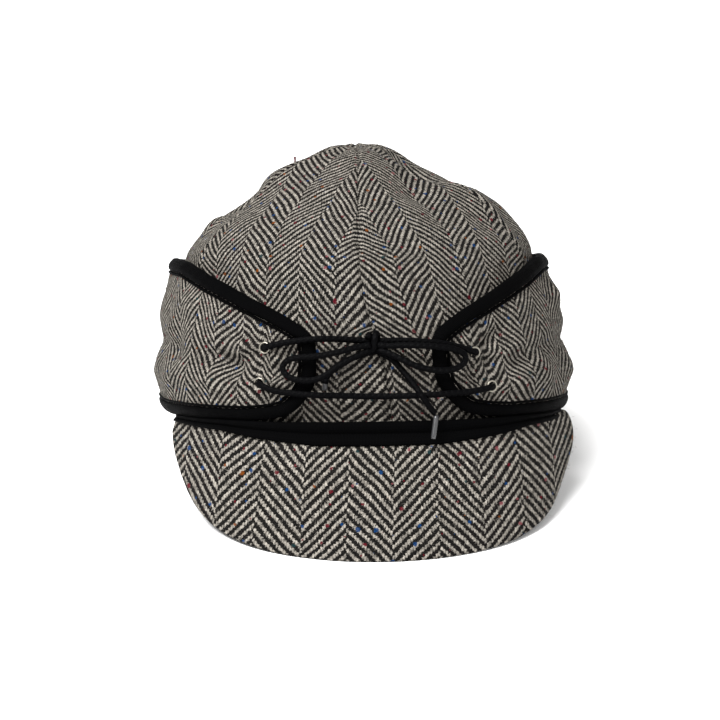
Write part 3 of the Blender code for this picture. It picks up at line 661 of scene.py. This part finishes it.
row_shares = [1 - (1 - t) ** ROW_CROWDING for t in np.linspace(0, 1, CROWN_ROWS)]
seam_angles = np.empty((6, CROWN_ROWS))
for seam in range(6):
    after = CROWN_PANELS[seam][0]
    for row, share in enumerate(row_shares):
        near = min(share, SEAM_TOP_SHARE)
        low, high = seam * 60 - SEAM_SEARCH, seam * 60 + SEAM_SEARCH
        seam_angles[seam, row] = between(
            lambda angle: crown_hit(angle, rise_at(near, angle))[1] == after, low, high,
        )
seam_angles = eased(seam_angles.T, SEAM_EASE).T

ring = np.empty((CROWN_ROWS, 6 * GORE_COLUMNS))
ring_angles = np.empty_like(ring)
ring_rises = np.empty_like(ring)
for row, share in enumerate(row_shares):
    for seam in range(6):
        start = seam_angles[seam, row]
        end = seam_angles[(seam + 1) % 6, row] + (360 if seam == 5 else 0)
        for column in range(GORE_COLUMNS):
            angle = start + (end - start) * column / GORE_COLUMNS
            place = row, seam * GORE_COLUMNS + column
            ring_angles[place], ring_rises[place] = angle, rise_at(share, angle)
            ring[place] = crown_hit(angle, ring_rises[place])[0] or np.nan
for column in range(ring.shape[1]):
    known = ~np.isnan(ring[:, column])
    ring[:, column] = np.interp(row_shares, np.array(row_shares)[known], ring[known, column])
ring = eased(ring, CROWN_EASE, ring=True)
ring[-1] = ring[-1].mean()

turns, tilts = np.radians(ring_angles), np.radians(ring_rises)
ways = np.stack([np.sin(turns) * np.cos(tilts), -np.cos(turns) * np.cos(tilts), np.sin(tilts)], axis=-1)
skin_points = np.array([0, 0, CROWN_CENTRE]) + ways * ring[..., None]
skin_points[-1] = skin_points[-1].mean(axis=0)

CROWN_DENTS = (
    # where, how deep (a swell is below zero), how far it reaches
    ((-0.0520, 0.0120, 0.0960), 0.0070, 0.0160), ((-0.0261, 0.0000, 0.1168), 0.0030, 0.0110),
    ((0.0225, -0.0060, 0.1170), 0.0050, 0.0105), ((0.0300, -0.0150, 0.1120), 0.0072, 0.0110),
    ((0.0227, -0.0364, 0.1069), 0.0026, 0.0080),
    ((0.0248, -0.0480, 0.1020), 0.0030, 0.0080), ((0.0330, -0.0600, 0.0930), 0.0020, 0.0080),
    ((0.0480, -0.0300, 0.0995), -0.0018, 0.0130), ((-0.0390, -0.0120, 0.1080), -0.0022, 0.0100),
    ((-0.0030, -0.0600, 0.1005), 0.0016, 0.0045), ((-0.0038, -0.0660, 0.0965), 0.0014, 0.0045),
    ((0.0090, -0.0776, 0.0883), 0.0012, 0.0110), ((-0.0088, -0.0286, 0.1160), -0.0012, 0.0070),
    ((0.0670, -0.0120, 0.0865), -0.0024, 0.0160), ((-0.0650, -0.0020, 0.0870), -0.0024, 0.0085),
)


def crown_folds(point):
    """How far the slack cloth of the crown stands out or in: broad waves with finer ones on them."""
    calm = np.clip((point[2] - 0.03) / 0.04, 0.25, 1)
    broad = noise.noise(Vector(point / FOLD_SIZE))
    fine = noise.noise(Vector(point / FINE_FOLD_SIZE + (0, 0, 5)))
    swell = calm * (FOLD * broad + FINE_FOLD * fine - SLACK)
    for place, depth, reach in CROWN_DENTS:
        swell -= depth * math.exp(-((Vector(point) - Vector(place)).length / reach) ** 2)
    return float(swell)


for number, (node, peak) in enumerate(CROWN_PANELS):
    columns = np.arange(GORE_COLUMNS + 1) + number * GORE_COLUMNS
    points = skin_points[:, columns % (6 * GORE_COLUMNS)]
    steps = np.linalg.norm(np.diff(points, axis=1), axis=2)
    across = np.concatenate([np.zeros((CROWN_ROWS, 1)), np.cumsum(steps, axis=1)], axis=1)
    girth = across[:, -1:]
    aside = across - girth / 2
    if node == "crown_front_left":
        beyond = aside - FRONT_VALLEY
        room = np.maximum(girth / 2 - FRONT_VALLEY, 1e-6)
        squeezed = FRONT_VALLEY + beyond * np.minimum(1, HERRINGBONE_WIDTH / room)
        aside = np.where(beyond > 0, squeezed, aside)
    middle = points[:, GORE_COLUMNS // 2]
    up = lengths_along(middle)
    taper = -np.gradient(np.abs(aside), up, axis=0)
    cloth = np.stack([aside - peak, up[:, None] + 0.5 * np.abs(aside) * taper], axis=-1)
    from_seam = np.minimum(across, girth - across)
    swell = SEAM_SWELL * np.exp(-(from_seam / SEAM_SWELL_WIDTH) ** 2)
    groove = SEAM_GROOVE * np.exp(-(from_seam / SEAM_GROOVE_WIDTH) ** 2)
    fade = np.clip(girth / SEAM_FADE, 0, 1)
    normals = grid_normals(points)
    normals[-4:] = (0, 0, 1)
    slack = np.array([[crown_folds(point) for point in row] for row in points])
    points = points + normals * ((swell - groove) * fade + slack)[..., None]
    left, right = (
        np.stack([points[:, side] - normals[:, side] * depth * fade for depth in TURN_IN], axis=1)
        for side in (0, -1)
    )
    points = np.concatenate([left[:, ::-1], points, right], axis=1)
    cloth = np.pad(cloth, ((0, 0), (2, 2), (0, 0)), mode="edge")
    name = node.replace("crown", "gore")
    mesh = grid_mesh(name, points, cloth)
    gore = finished(name, mesh, tweed(f"tweed_{node}"), (node,))
    TWEED_SHEETS.append(thickened(gore, CROWN_CLOTH))

# Ear band: a wide strip of the same tweed in two halves, slack enough to be pulled down over the
# ears. Only its bound edges lie close to the crown, and it puckers where the lace pulls on it.
BAND_HEIGHT = 0.072
BAND_CLOTH = 0.00192
TAPE_WIDTH = 0.0085
BAND_START = 14.6
BAND_EDGES = np.array((
    # angle, bottom, top, as shares of the band's height
    (BAND_START, 0.400, 0.545), (14.9, 0.340, 0.585), (15.8, 0.285, 0.615), (17.6, 0.220, 0.645),
    (20.7, 0.150, 0.690), (25.0, 0.124, 0.740), (31.7, 0.106, 0.800), (42.5, 0.099, 0.885),
    (55.0, 0.088, 0.950), (66.0, 0.074, 0.990), (90.0, 0.060, 0.985), (135.0, 0.050, 0.910),
    (180.0, 0.045, 0.870),
))
BAND_ROWS = 72
BAND_STEP = 0.9
BAND_INSET = 0.0004
BAND_EASE = 14
BAND_PEAK, BAND_FOOT = 0.0363, 0.02
SAG_ANGLES = (105.0, 145.0)
PUCKER, PUCKER_REACH, PUCKERS = 0.0011, 0.010, 6
WANDER, WANDER_SIZE = 0.0026, 0.017
CREASE, CREASE_SHARE, CREASE_WIDTH = 0.0016, 0.46, 0.055
ROLL, ROLL_SHARE, ROLL_WIDTH = 0.0012, 0.30, 0.09
BAND_SWELLS = (((0.0850, -0.0300, 0.0590), 0.0034, 0.0140), ((0.0865, -0.0330, 0.0140), 0.0030, 0.0120))


def table_under(y):
    """Height of the table under the cap, in the cap's own frame."""
    return -(RIM_MIDDLE.z + BACK.z * y) / UP.z


def band_edges(angle):
    """Lower and upper edge of the ear band at an angle; the lower one sags on to the table behind."""
    angle = abs(angle)
    bottom, top = (np.interp(angle, BAND_EDGES[:, 0], BAND_EDGES[:, i]) * BAND_HEIGHT for i in (1, 2))
    sag = np.clip((angle - SAG_ANGLES[0]) / (SAG_ANGLES[1] - SAG_ANGLES[0]), 0, 1)
    under = table_under(0.1 * -math.cos(math.radians(angle)))
    return bottom + under * sag * sag * (3 - 2 * sag), top


def filled(values):
    """Row of distances with its gaps, at an eyelet's hole or past an end, filled from beside them."""
    values = np.array(values, dtype=float)
    known = ~np.isnan(values)
    return np.interp(np.arange(len(values)), np.flatnonzero(known), values[known])


band_angles = np.concatenate([
    np.linspace(BAND_START, 21, 16, endpoint=False), np.arange(21, 180, BAND_STEP), [180.0],
])
shares = np.linspace(0, 1, BAND_ROWS)
BANDS = {}
for side, sign in (("left", -1), ("right", 1)):
    surface = skin(f"ear_band_{side}")
    field = np.empty((BAND_ROWS, len(band_angles)))
    for column, angle in enumerate(band_angles):
        bottom, top = band_edges(angle)
        heights = bottom + (top - bottom) * shares
        heights = np.clip(heights, bottom + BAND_INSET, top - BAND_INSET)
        reach = [wall_radius(surface, sign * min(max(angle, 15.2), 179.6), height) for height in heights]
        reach = [np.nan if value is None or value < 0.05 else value for value in reach]
        field[:, column] = filled(reach) if np.isfinite(reach).any() else np.nan
    for row in range(BAND_ROWS):
        field[row] = filled(field[row])
    BANDS[side] = eased(field, BAND_EASE)


def band_radius(side, angle, height):
    """Distance of the band's outside from the cap's axis."""
    bottom, top = band_edges(angle)
    share = np.clip((height - bottom) / (top - bottom), 0, 1) * (BAND_ROWS - 1)
    column = np.interp(abs(angle), band_angles, np.arange(len(band_angles)))
    row, col = min(int(share), BAND_ROWS - 2), min(int(column), len(band_angles) - 2)
    part, aside = share - row, column - col
    patch = BANDS[side][row:row + 2, col:col + 2]
    return float(np.array((1 - part, part)) @ patch @ np.array((1 - aside, aside)))


def band_folds(point, eyelets):
    """How far the cloth stands out or in: slack waves everywhere, pleats round the eyelets."""
    swell = WANDER * noise.noise(Vector(point) / WANDER_SIZE)
    for middle in eyelets:
        off = Vector(point) - middle
        away, turn = off.length, math.atan2(off.z, off.x)
        near = away / PUCKER_REACH
        swell += PUCKER * math.cos(PUCKERS * turn) * near * math.exp(1 - near)
    return swell


for side, sign in (("left", -1), ("right", 1)):
    node = f"ear_band_{side}"
    eyelets = [eyelet_place(f"eyelet_{side}_{level}")[0] for level in ("upper", "lower")]
    order = band_angles[::-1] if sign < 0 else band_angles
    points = np.empty((BAND_ROWS, len(order), 3))
    for column, angle in enumerate(order):
        bottom, top = band_edges(angle)
        for row, share in enumerate(shares):
            height = bottom + (top - bottom) * share
            radius = band_radius(side, angle, height)
            place = round_axis(radius, sign * angle, height)
            unevenness = 0.7 + noise.noise(Vector((0.09 * sign * angle, 3.0, 0.0)))
            level = share + 0.05 * noise.noise(Vector((0.06 * sign * angle, 7.0, 0.0)))
            from_front = math.radians(angle - BAND_START) * radius
            inside = min(height - bottom, top - height, from_front)
            fold = band_folds(place, eyelets)
            for spot, swell, reach in BAND_SWELLS:
                fold += swell * math.exp(-((place - Vector(spot)).length / reach) ** 2)
            fold -= CREASE * unevenness * math.exp(-((level - CREASE_SHARE) / CREASE_WIDTH) ** 2)
            fold += ROLL * unevenness * math.exp(-((level - ROLL_SHARE) / ROLL_WIDTH) ** 2)
            fold *= np.clip((inside - TAPE_WIDTH * 0.8) / TAPE_WIDTH, 0, 1)
            points[row, column] = round_axis(radius + fold, sign * angle, height)
    across = lengths_along(points[BAND_ROWS // 2])
    across = across - (across[-1] if sign < 0 else 0)
    up = np.cumsum(np.concatenate([
        points[:1, :, 2] - BAND_FOOT, np.linalg.norm(np.diff(points, axis=0), axis=2),
    ]), axis=0)
    cloth = np.stack([np.broadcast_to(across - sign * BAND_PEAK, up.shape), up], axis=-1)
    mesh = grid_mesh(f"band_{side}", points, cloth)
    weave = tweed(f"tweed_band_{side}", drift=0.0030)
    band = finished(f"band_{side}", mesh, weave, (node,))
    TWEED_SHEETS.append(thickened(band, BAND_CLOTH))

# Binding: black cotton tape folded over the whole edge of each half of the band and stitched
# through. Beyond the stitches its turned-under edge stands up as a second, thinner ridge.
TAPE_SECTION = (
    # from the band's edge inwards, off the band's outside
    (0.0058, -0.0005), (0.0058, 0.0004), (0.0055, 0.0009), (0.0050, 0.0008), (0.0046, -0.0001),
    (0.0042, 0.0008), (0.0034, 0.0014), (0.0022, 0.0016), (0.0009, 0.0013), (0.0000, 0.0007),
    (-0.0006, 0.0001), (-0.0008, -0.0007), (-0.0008, -0.0018), (-0.0005, -0.0027),
    (0.0000, -0.0033), (0.0023, -0.0036), (0.0056, -0.0034), (0.0058, -0.0026),
)
OUTLINE_STEP = 0.0013
BAND_GIRTH_RADIUS = 0.093
RIB_PITCH, THREAD_PITCH = 0.00062, 0.00045
RIPPLE, RIPPLE_LENGTH, RIPPLE_WIDTH = 0.0002, 0.005, 0.004


def ribbed_tape(name):
    """Matt black cotton tape, finely ribbed across and slightly uneven."""
    material, tree, shader = new_material(name, (0.0010, 0.0010, 0.0011), 0.6, specular=0.006)
    where, across, along = cloth_place(tree)
    rib = math_node(tree, "SINE", math_node(tree, "MULTIPLY", across, 2 * math.pi / RIB_PITCH))
    thread = math_node(tree, "SINE", math_node(tree, "MULTIPLY", along, 2 * math.pi / THREAD_PITCH))
    grain = linked(tree, "ShaderNodeTexNoise", {"Scale": 700, "Vector": where}).outputs["Fac"]
    height = math_node(tree, "ADD", rib, math_node(tree, "MULTIPLY", thread, 0.5))
    height = math_node(tree, "ADD", height, math_node(tree, "MULTIPLY", grain, 2.0))
    bumped(tree, shader, height, 0.6, 0.00015)
    return material


def band_outline():
    """Edge of a band half as arc and height: along the bottom, up the front, back along the top."""
    rows = [(angle, *band_edges(angle)) for angle in band_angles]
    bottom = [(angle, low) for angle, low, _ in reversed(rows)]
    top = [(angle, high) for angle, _, high in rows]
    front = [(rows[0][0], rows[0][1] + (rows[0][2] - rows[0][1]) * t) for t in (0.2, 0.4, 0.6, 0.8)]
    edge = np.array(bottom + front + top)
    edge[:, 0] *= math.radians(1) * BAND_GIRTH_RADIUS
    lengths = lengths_along(edge)
    marks = np.linspace(0, lengths[-1], int(lengths[-1] / OUTLINE_STEP))
    edge = np.stack([np.interp(marks, lengths, edge[:, i]) for i in (0, 1)], axis=1)
    for _ in range(4):
        edge[1:-1] = (edge[:-2] + 2 * edge[1:-1] + edge[2:]) / 4
    return edge, marks


def swept(name, sections):
    """Strip of tape through its sections; its UV map runs along and round it, in metres."""
    round_it = lengths_along(sections[0] + sections[0][:1])
    along = lengths_along([section[4] for section in sections])
    return strip_mesh(name, sections, lambda row, column: (along[row], round_it[column]))


TAPE = ribbed_tape("black_tape")
edge, marks = band_outline()
for side, sign in (("left", -1), ("right", 1)):
    sections = []
    for i in range(len(edge)):
        before, after = edge[max(0, i - 1)], edge[min(len(edge) - 1, i + 1)]
        along = (after - before) / np.linalg.norm(after - before)
        inward = np.array((along[1], -along[0]))
        section = []
        for reach, depth in TAPE_SECTION:
            wave = Vector((marks[i] / RIPPLE_LENGTH, reach / RIPPLE_WIDTH, 3.0 + sign))
            ripple = RIPPLE * noise.noise(wave)
            spot = edge[i] + inward * reach
            angle = min(math.degrees(spot[0] / BAND_GIRTH_RADIUS), 180)
            radius = band_radius(side, angle, spot[1])
            section.append(round_axis(radius + depth + ripple, sign * angle, spot[1]))
        sections.append(section)
    mesh = swept(f"binding_{side}", sections)
    finished(f"binding_{side}", mesh, TAPE, (f"edge_tape_{side}",))

# Visor: a short curved board covered with the tweed, which is turned round its edge without a seam
# that shows. Both are sewn to the front of the rim.
VISOR_LEVELS = 3
VISOR_REGAIN = 0.0017
VISOR_REACH = 0.137
VISOR_CORNER, VISOR_CORNER_SWELL, VISOR_CORNER_REACH = (0.090, -0.045, -0.010), 0.0030, 0.022
VISOR_GIRTH_RADIUS = 0.128
VISOR_FLATNESS = 0.75
VISOR_SKEW = (0.06, -0.8)
VISOR_PEAK = 0.0092
VISOR_STRETCH = 1.19
VISOR_RISE = ((20, 38, 65), (0.0, 0.0028, 0.0030))
VISOR_RISE_DEPTH = 0.010


def plain_mesh(shaped, name):
    """Mesh of an object as its modifiers shape it. The object itself is taken away."""
    mesh = bpy.data.meshes.new_from_object(
        shaped.evaluated_get(bpy.context.evaluated_depsgraph_get()),
    )
    bpy.data.objects.remove(shaped)
    mesh.name = name
    return mesh


board = bpy.data.objects["visor"]
cage = bmesh.new()
cage.from_mesh(board.data)
bmesh.ops.transform(cage, matrix=INTO_CAP @ board.matrix_world, verts=cage.verts)
bmesh.ops.remove_doubles(cage, verts=cage.verts, dist=0.00002)
bmesh.ops.join_triangles(
    cage, faces=cage.faces,
    angle_face_threshold=math.radians(50), angle_shape_threshold=math.radians(60),
)
visor_cage = placed("visor_cage", mesh_of(cage, "visor_cage"))
rounding = visor_cage.modifiers.new("rounding", "SUBSURF")
rounding.levels = rounding.render_levels = VISOR_LEVELS
visor_mesh = plain_mesh(visor_cage, "visor_cover")
lowest = min(vert.co.z for vert in visor_mesh.vertices)
for vert in visor_mesh.vertices:
    reach = np.clip(vert.co.z / lowest, 0, 1) ** 2
    vert.co.z -= float(reach) * VISOR_REGAIN * 0.2
    vert.co.xy *= 1 + float(reach) * VISOR_REGAIN / VISOR_REACH
    corner = math.exp(-((vert.co - Vector(VISOR_CORNER)).length / VISOR_CORNER_REACH) ** 2)
    vert.co.x += VISOR_CORNER_SWELL * corner
    angle = abs(math.degrees(math.atan2(vert.co.x, -vert.co.y)))
    near_joint = np.clip((vert.co.z + VISOR_RISE_DEPTH) / VISOR_RISE_DEPTH, 0, 1)
    vert.co.z += float(np.interp(angle, *VISOR_RISE) * near_joint ** 2)
visor_uv = visor_mesh.uv_layers.new(name="cloth")
for loop in visor_mesh.loops:
    place = visor_mesh.vertices[loop.vertex_index].co
    angle = math.atan2(place.x - LEAN / 2, -place.y)
    down = -place.z * (1 + 0.10 * math.cos(1.5 * angle) ** 2)
    aside = VISOR_FLATNESS * place.x + (1 - VISOR_FLATNESS) * angle * VISOR_GIRTH_RADIUS
    aside += down * (VISOR_SKEW[0] + VISOR_SKEW[1] * place.x) - VISOR_PEAK
    visor_uv.data[loop.index].uv = (aside / VISOR_STRETCH, down / VISOR_STRETCH)
visor_weave = tweed("tweed_visor", drift=0.0016)
TWEED_SHEETS.append(finished("visor_cover", visor_mesh, visor_weave, ("visor",)))

# Visor joint: a length of the same black cotton tape, folded lengthwise and sewn over the seam
# between the crown and the visor. Its two folded edges stand up as ridges.
JOINT_SKIN = skin(*(row[0] for row in CROWN_PANELS), "visor")
JOINT_HALF_ANGLE = 61.6
JOINT_PROFILE = (
    # share of the way down from its upper edge, thickness
    (0.00, 0.0003), (0.02, 0.0009), (0.10, 0.0013), (0.24, 0.0015), (0.36, 0.0013), (0.44, 0.0009),
    (0.50, 0.0004), (0.56, 0.0010), (0.70, 0.0015), (0.86, 0.0014), (0.95, 0.0010), (1.00, 0.0001),
)
JOINT_TOP = 0.0072
JOINT_LINING = 0.0006
JOINT_ENDING = 3
VISOR_LIP = 0.0018
JOINT_FOOT = ((0, 14, 28, 38, 50, 63), (-0.0030, -0.0028, -0.0002, 0.0022, 0.0024, 0.0026))
joint_sections = []
for angle in np.linspace(-JOINT_HALF_ANGLE, JOINT_HALF_ANGLE, 150):
    section, lining = [], []
    top = JOINT_TOP
    if abs(angle) > BAND_START:
        top = min(top, band_edges(angle)[0] - BAND_INSET)
    foot = np.interp(abs(angle), *JOINT_FOOT)
    rise = np.interp(abs(angle), *VISOR_RISE)
    ending = min(1, 0.1 + (JOINT_HALF_ANGLE - abs(angle)) / JOINT_ENDING)
    for share, thickness in JOINT_PROFILE:
        height = top + (foot - top) * share
        levels = (height, min(height, VISOR_LIP + rise) - rise)
        radius = max(wall_radius(JOINT_SKIN, angle, level) or 0 for level in levels)
        section.append(round_axis(radius + thickness * ending, angle, height))
        lining.append(round_axis(radius - JOINT_LINING, angle, height))
    joint_sections.append(section + lining[::-1])
joint_mesh = swept("visor_binding", joint_sections)
finished("visor_binding", joint_mesh, TAPE, ("visor_seam_tape",))

# Loose fibres: woollen yarn is spun from short hairs, whose ends stand out all over the cloth, cream
# and black. One red fleck has worked itself loose near the top and stands up as a thread.
FUZZ_DENSITY = 110000
FUZZ_LENGTH = 0.0023
FUZZ_RADIUS = 0.000040
FUZZ_TILT = 1.25
FUZZ_LOWEST = 0.0035
TAPE_MARGIN = 0.0028


def fuzz_group():
    """Node group that plants short bent hairs on a surface, turned and leaning at random."""
    group = bpy.data.node_groups.new("loose_fibres", "GeometryNodeTree")
    sockets = {}
    for name, kind, value in (
        ("Geometry", "NodeSocketGeometry", None), ("Density", "NodeSocketFloat", FUZZ_DENSITY),
        ("Length", "NodeSocketFloat", FUZZ_LENGTH), ("Radius", "NodeSocketFloat", FUZZ_RADIUS),
        ("Seed", "NodeSocketInt", 0), ("Material", "NodeSocketMaterial", None),
    ):
        socket = group.interface.new_socket(name, in_out="INPUT", socket_type=kind)
        sockets[name] = socket.identifier
        if value is not None:
            socket.default_value = value
    group.interface.new_socket("Geometry", in_out="OUTPUT", socket_type="NodeSocketGeometry")
    given = linked(group, "NodeGroupInput")
    strewn = linked(group, "GeometryNodeDistributePointsOnFaces", {
        "Mesh": given.outputs["Geometry"], "Density": given.outputs["Density"],
        "Seed": given.outputs["Seed"],
    })
    hair = linked(group, "GeometryNodeCurveQuadraticBezier", {
        "Resolution": 3, "Start": (0, 0, -0.1), "Middle": (0.15, 0, 0.5), "End": (0.6, 0.1, 0.8),
    })
    longer = linked(group, "ShaderNodeCombineXYZ", {i: given.outputs["Length"] for i in range(3)})
    sized = linked(group, "GeometryNodeTransform", {
        "Geometry": hair.outputs[0], "Scale": longer.outputs[0],
    })
    profile = linked(group, "GeometryNodeCurvePrimitiveCircle", {
        "Resolution": 3, "Radius": given.outputs["Radius"],
    })
    tube = linked(group, "GeometryNodeCurveToMesh", {
        "Curve": sized.outputs[0], "Profile Curve": profile.outputs[0],
    })
    lean = linked(group, "FunctionNodeRandomValue", {
        "Min": (-FUZZ_TILT, -FUZZ_TILT, 0), "Max": (FUZZ_TILT, FUZZ_TILT, 2 * math.pi),
        "Seed": given.outputs["Seed"],
    }, data_type="FLOAT_VECTOR")
    bent = linked(group, "FunctionNodeRotateRotation", {
        "Rotation": strewn.outputs["Rotation"], "Rotate By": lean.outputs[0],
    }, rotation_space="LOCAL")
    spot = linked(group, "GeometryNodeInputPosition")
    spot = linked(group, "ShaderNodeSeparateXYZ", {0: spot.outputs[0]})
    above = linked(group, "FunctionNodeCompare", {
        "A": spot.outputs[2], "B": FUZZ_LOWEST,
    }, data_type="FLOAT", operation="GREATER_THAN")
    planted = linked(group, "GeometryNodeInstanceOnPoints", {
        "Points": strewn.outputs["Points"], "Selection": above.outputs[0],
        "Instance": tube.outputs[0], "Rotation": bent.outputs[0],
    })
    realized = linked(group, "GeometryNodeRealizeInstances", {0: planted.outputs[0]})
    coloured = linked(group, "GeometryNodeSetMaterial", {
        "Geometry": realized.outputs[0], "Material": given.outputs["Material"],
    })
    linked(group, "NodeGroupOutput", {0: coloured.outputs[0]})
    return group, sockets


wool, wool_tree, wool_shader = new_material("wool_fibre", (0.16, 0.148, 0.128), 0.9, specular=0.05)
speckled(wool_tree, wool_shader, 400, (0.44, (0.004, 0.004, 0.004)), (0.54, (0.21, 0.195, 0.17)))
FIBRES, FIBRE_SOCKETS = fuzz_group()
TAPES = [
    BVHTree.FromObject(bpy.data.objects[name], bpy.context.evaluated_depsgraph_get())
    for name in ("binding_left", "binding_right", "visor_binding")
]


def bare_of_tape(mesh):
    """Copy of a sheet's mesh without the faces that lie under or close beside the tape."""
    bm = bmesh.new()
    bm.from_mesh(mesh)
    near = [
        face for face in bm.faces
        if any(tape.find_nearest(face.calc_center_median(), TAPE_MARGIN)[0] for tape in TAPES)
    ]
    bmesh.ops.delete(bm, geom=near, context="FACES")
    return mesh_of(bm, "bare")


for number, sheet in enumerate(TWEED_SHEETS):
    bare = bare_of_tape(sheet.data)
    carrier = placed("fuzz_carrier", bare)
    grown = carrier.modifiers.new("fibres", "NODES")
    grown.node_group = FIBRES
    grown[FIBRE_SOCKETS["Seed"]] = number
    grown[FIBRE_SOCKETS["Material"]] = wool
    fuzz = placed(f"fuzz_{sheet.name}", plain_mesh(carrier, f"fuzz_{sheet.name}"))
    bpy.data.meshes.remove(bare)
    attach(fuzz, "root")

STRAY_FOOT = Vector((-0.0285, -0.0050, 0.1122))
STRAY_LENGTH, STRAY_RADIUS, STRAY_BEND = 0.0048, 0.00032, 0.0004
red = new_material("red_wool", (0.075, 0.003, 0.008), 0.9)[0]
stray_shares = np.linspace(0, 1, 9)
stray_path = [
    STRAY_FOOT + Vector((STRAY_BEND * math.sin(2.2 * t), 0, STRAY_LENGTH * t)) for t in stray_shares
]
stray_radii = [STRAY_RADIUS * (1.0 + 0.9 * t ** 3) for t in stray_shares]
stray_mesh = tube_mesh("stray_thread", stray_path, stray_radii, 8)
stray_mesh.transform(CAP)
stray_mesh.materials.append(red)
stray = placed("stray_thread", stray_mesh)
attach(stray, "root")

# Eyelets: small rings stamped from thin metal, two at each front end of the band. Their barrels go
# through a punched hole and are clinched behind, and their rims are worn bright.
EYELET_RING = 0.00225
EYELET_RIM = 0.00034
EYELET_STEPS = 40
EYELET_STAND, EYELET_BARREL, EYELET_WALL = 0.0012, 0.0020, 0.0003
metal, metal_tree, metal_shader = new_material("eyelet_steel", (0.28, 0.26, 0.22), 0.30, 1.0)
metal_where = linked(metal_tree, "ShaderNodeTexCoord").outputs["Object"]
scratches = linked(metal_tree, "ShaderNodeTexNoise", {"Scale": 1500, "Vector": metal_where})
worn = linked(metal_tree, "ShaderNodeMapRange", {
    "Value": scratches.outputs["Fac"], "To Min": 0.2, "To Max": 0.45,
})
metal_tree.links.new(worn.outputs["Result"], metal_shader.inputs["Roughness"])
for side in ("left", "right"):
    for level in ("upper", "lower"):
        node = f"eyelet_{side}_{level}"
        middle, outward = eyelet_place(node)
        bm = bmesh.new()
        section = [
            bm.verts.new((
                EYELET_RING + EYELET_RIM * math.cos(t) * 1.1, 0, EYELET_STAND + EYELET_RIM * math.sin(t),
            ))
            for t in np.linspace(-0.5, math.pi, 9)
        ]
        section.append(bm.verts.new((EYELET_RING - EYELET_RIM * 1.1, 0, -EYELET_BARREL)))
        wires = [bm.edges.new(pair) for pair in zip(section, section[1:])]
        bmesh.ops.spin(
            bm, geom=section + wires, axis=(0, 0, 1), cent=(0, 0, 0),
            angle=2 * math.pi, steps=EYELET_STEPS,
        )
        bmesh.ops.remove_doubles(bm, verts=bm.verts, dist=0.00001)
        bmesh.ops.recalc_face_normals(bm, faces=bm.faces)
        mesh = mesh_of(bm, f"ring_{side}_{level}")
        turned_out = outward.to_track_quat("Z", "Y").to_matrix().to_4x4()
        mesh.transform(Matrix.Translation(middle) @ turned_out)
        ring_piece = finished(f"ring_{side}_{level}", mesh, metal, (node,))
        thickened(ring_piece, EYELET_WALL)
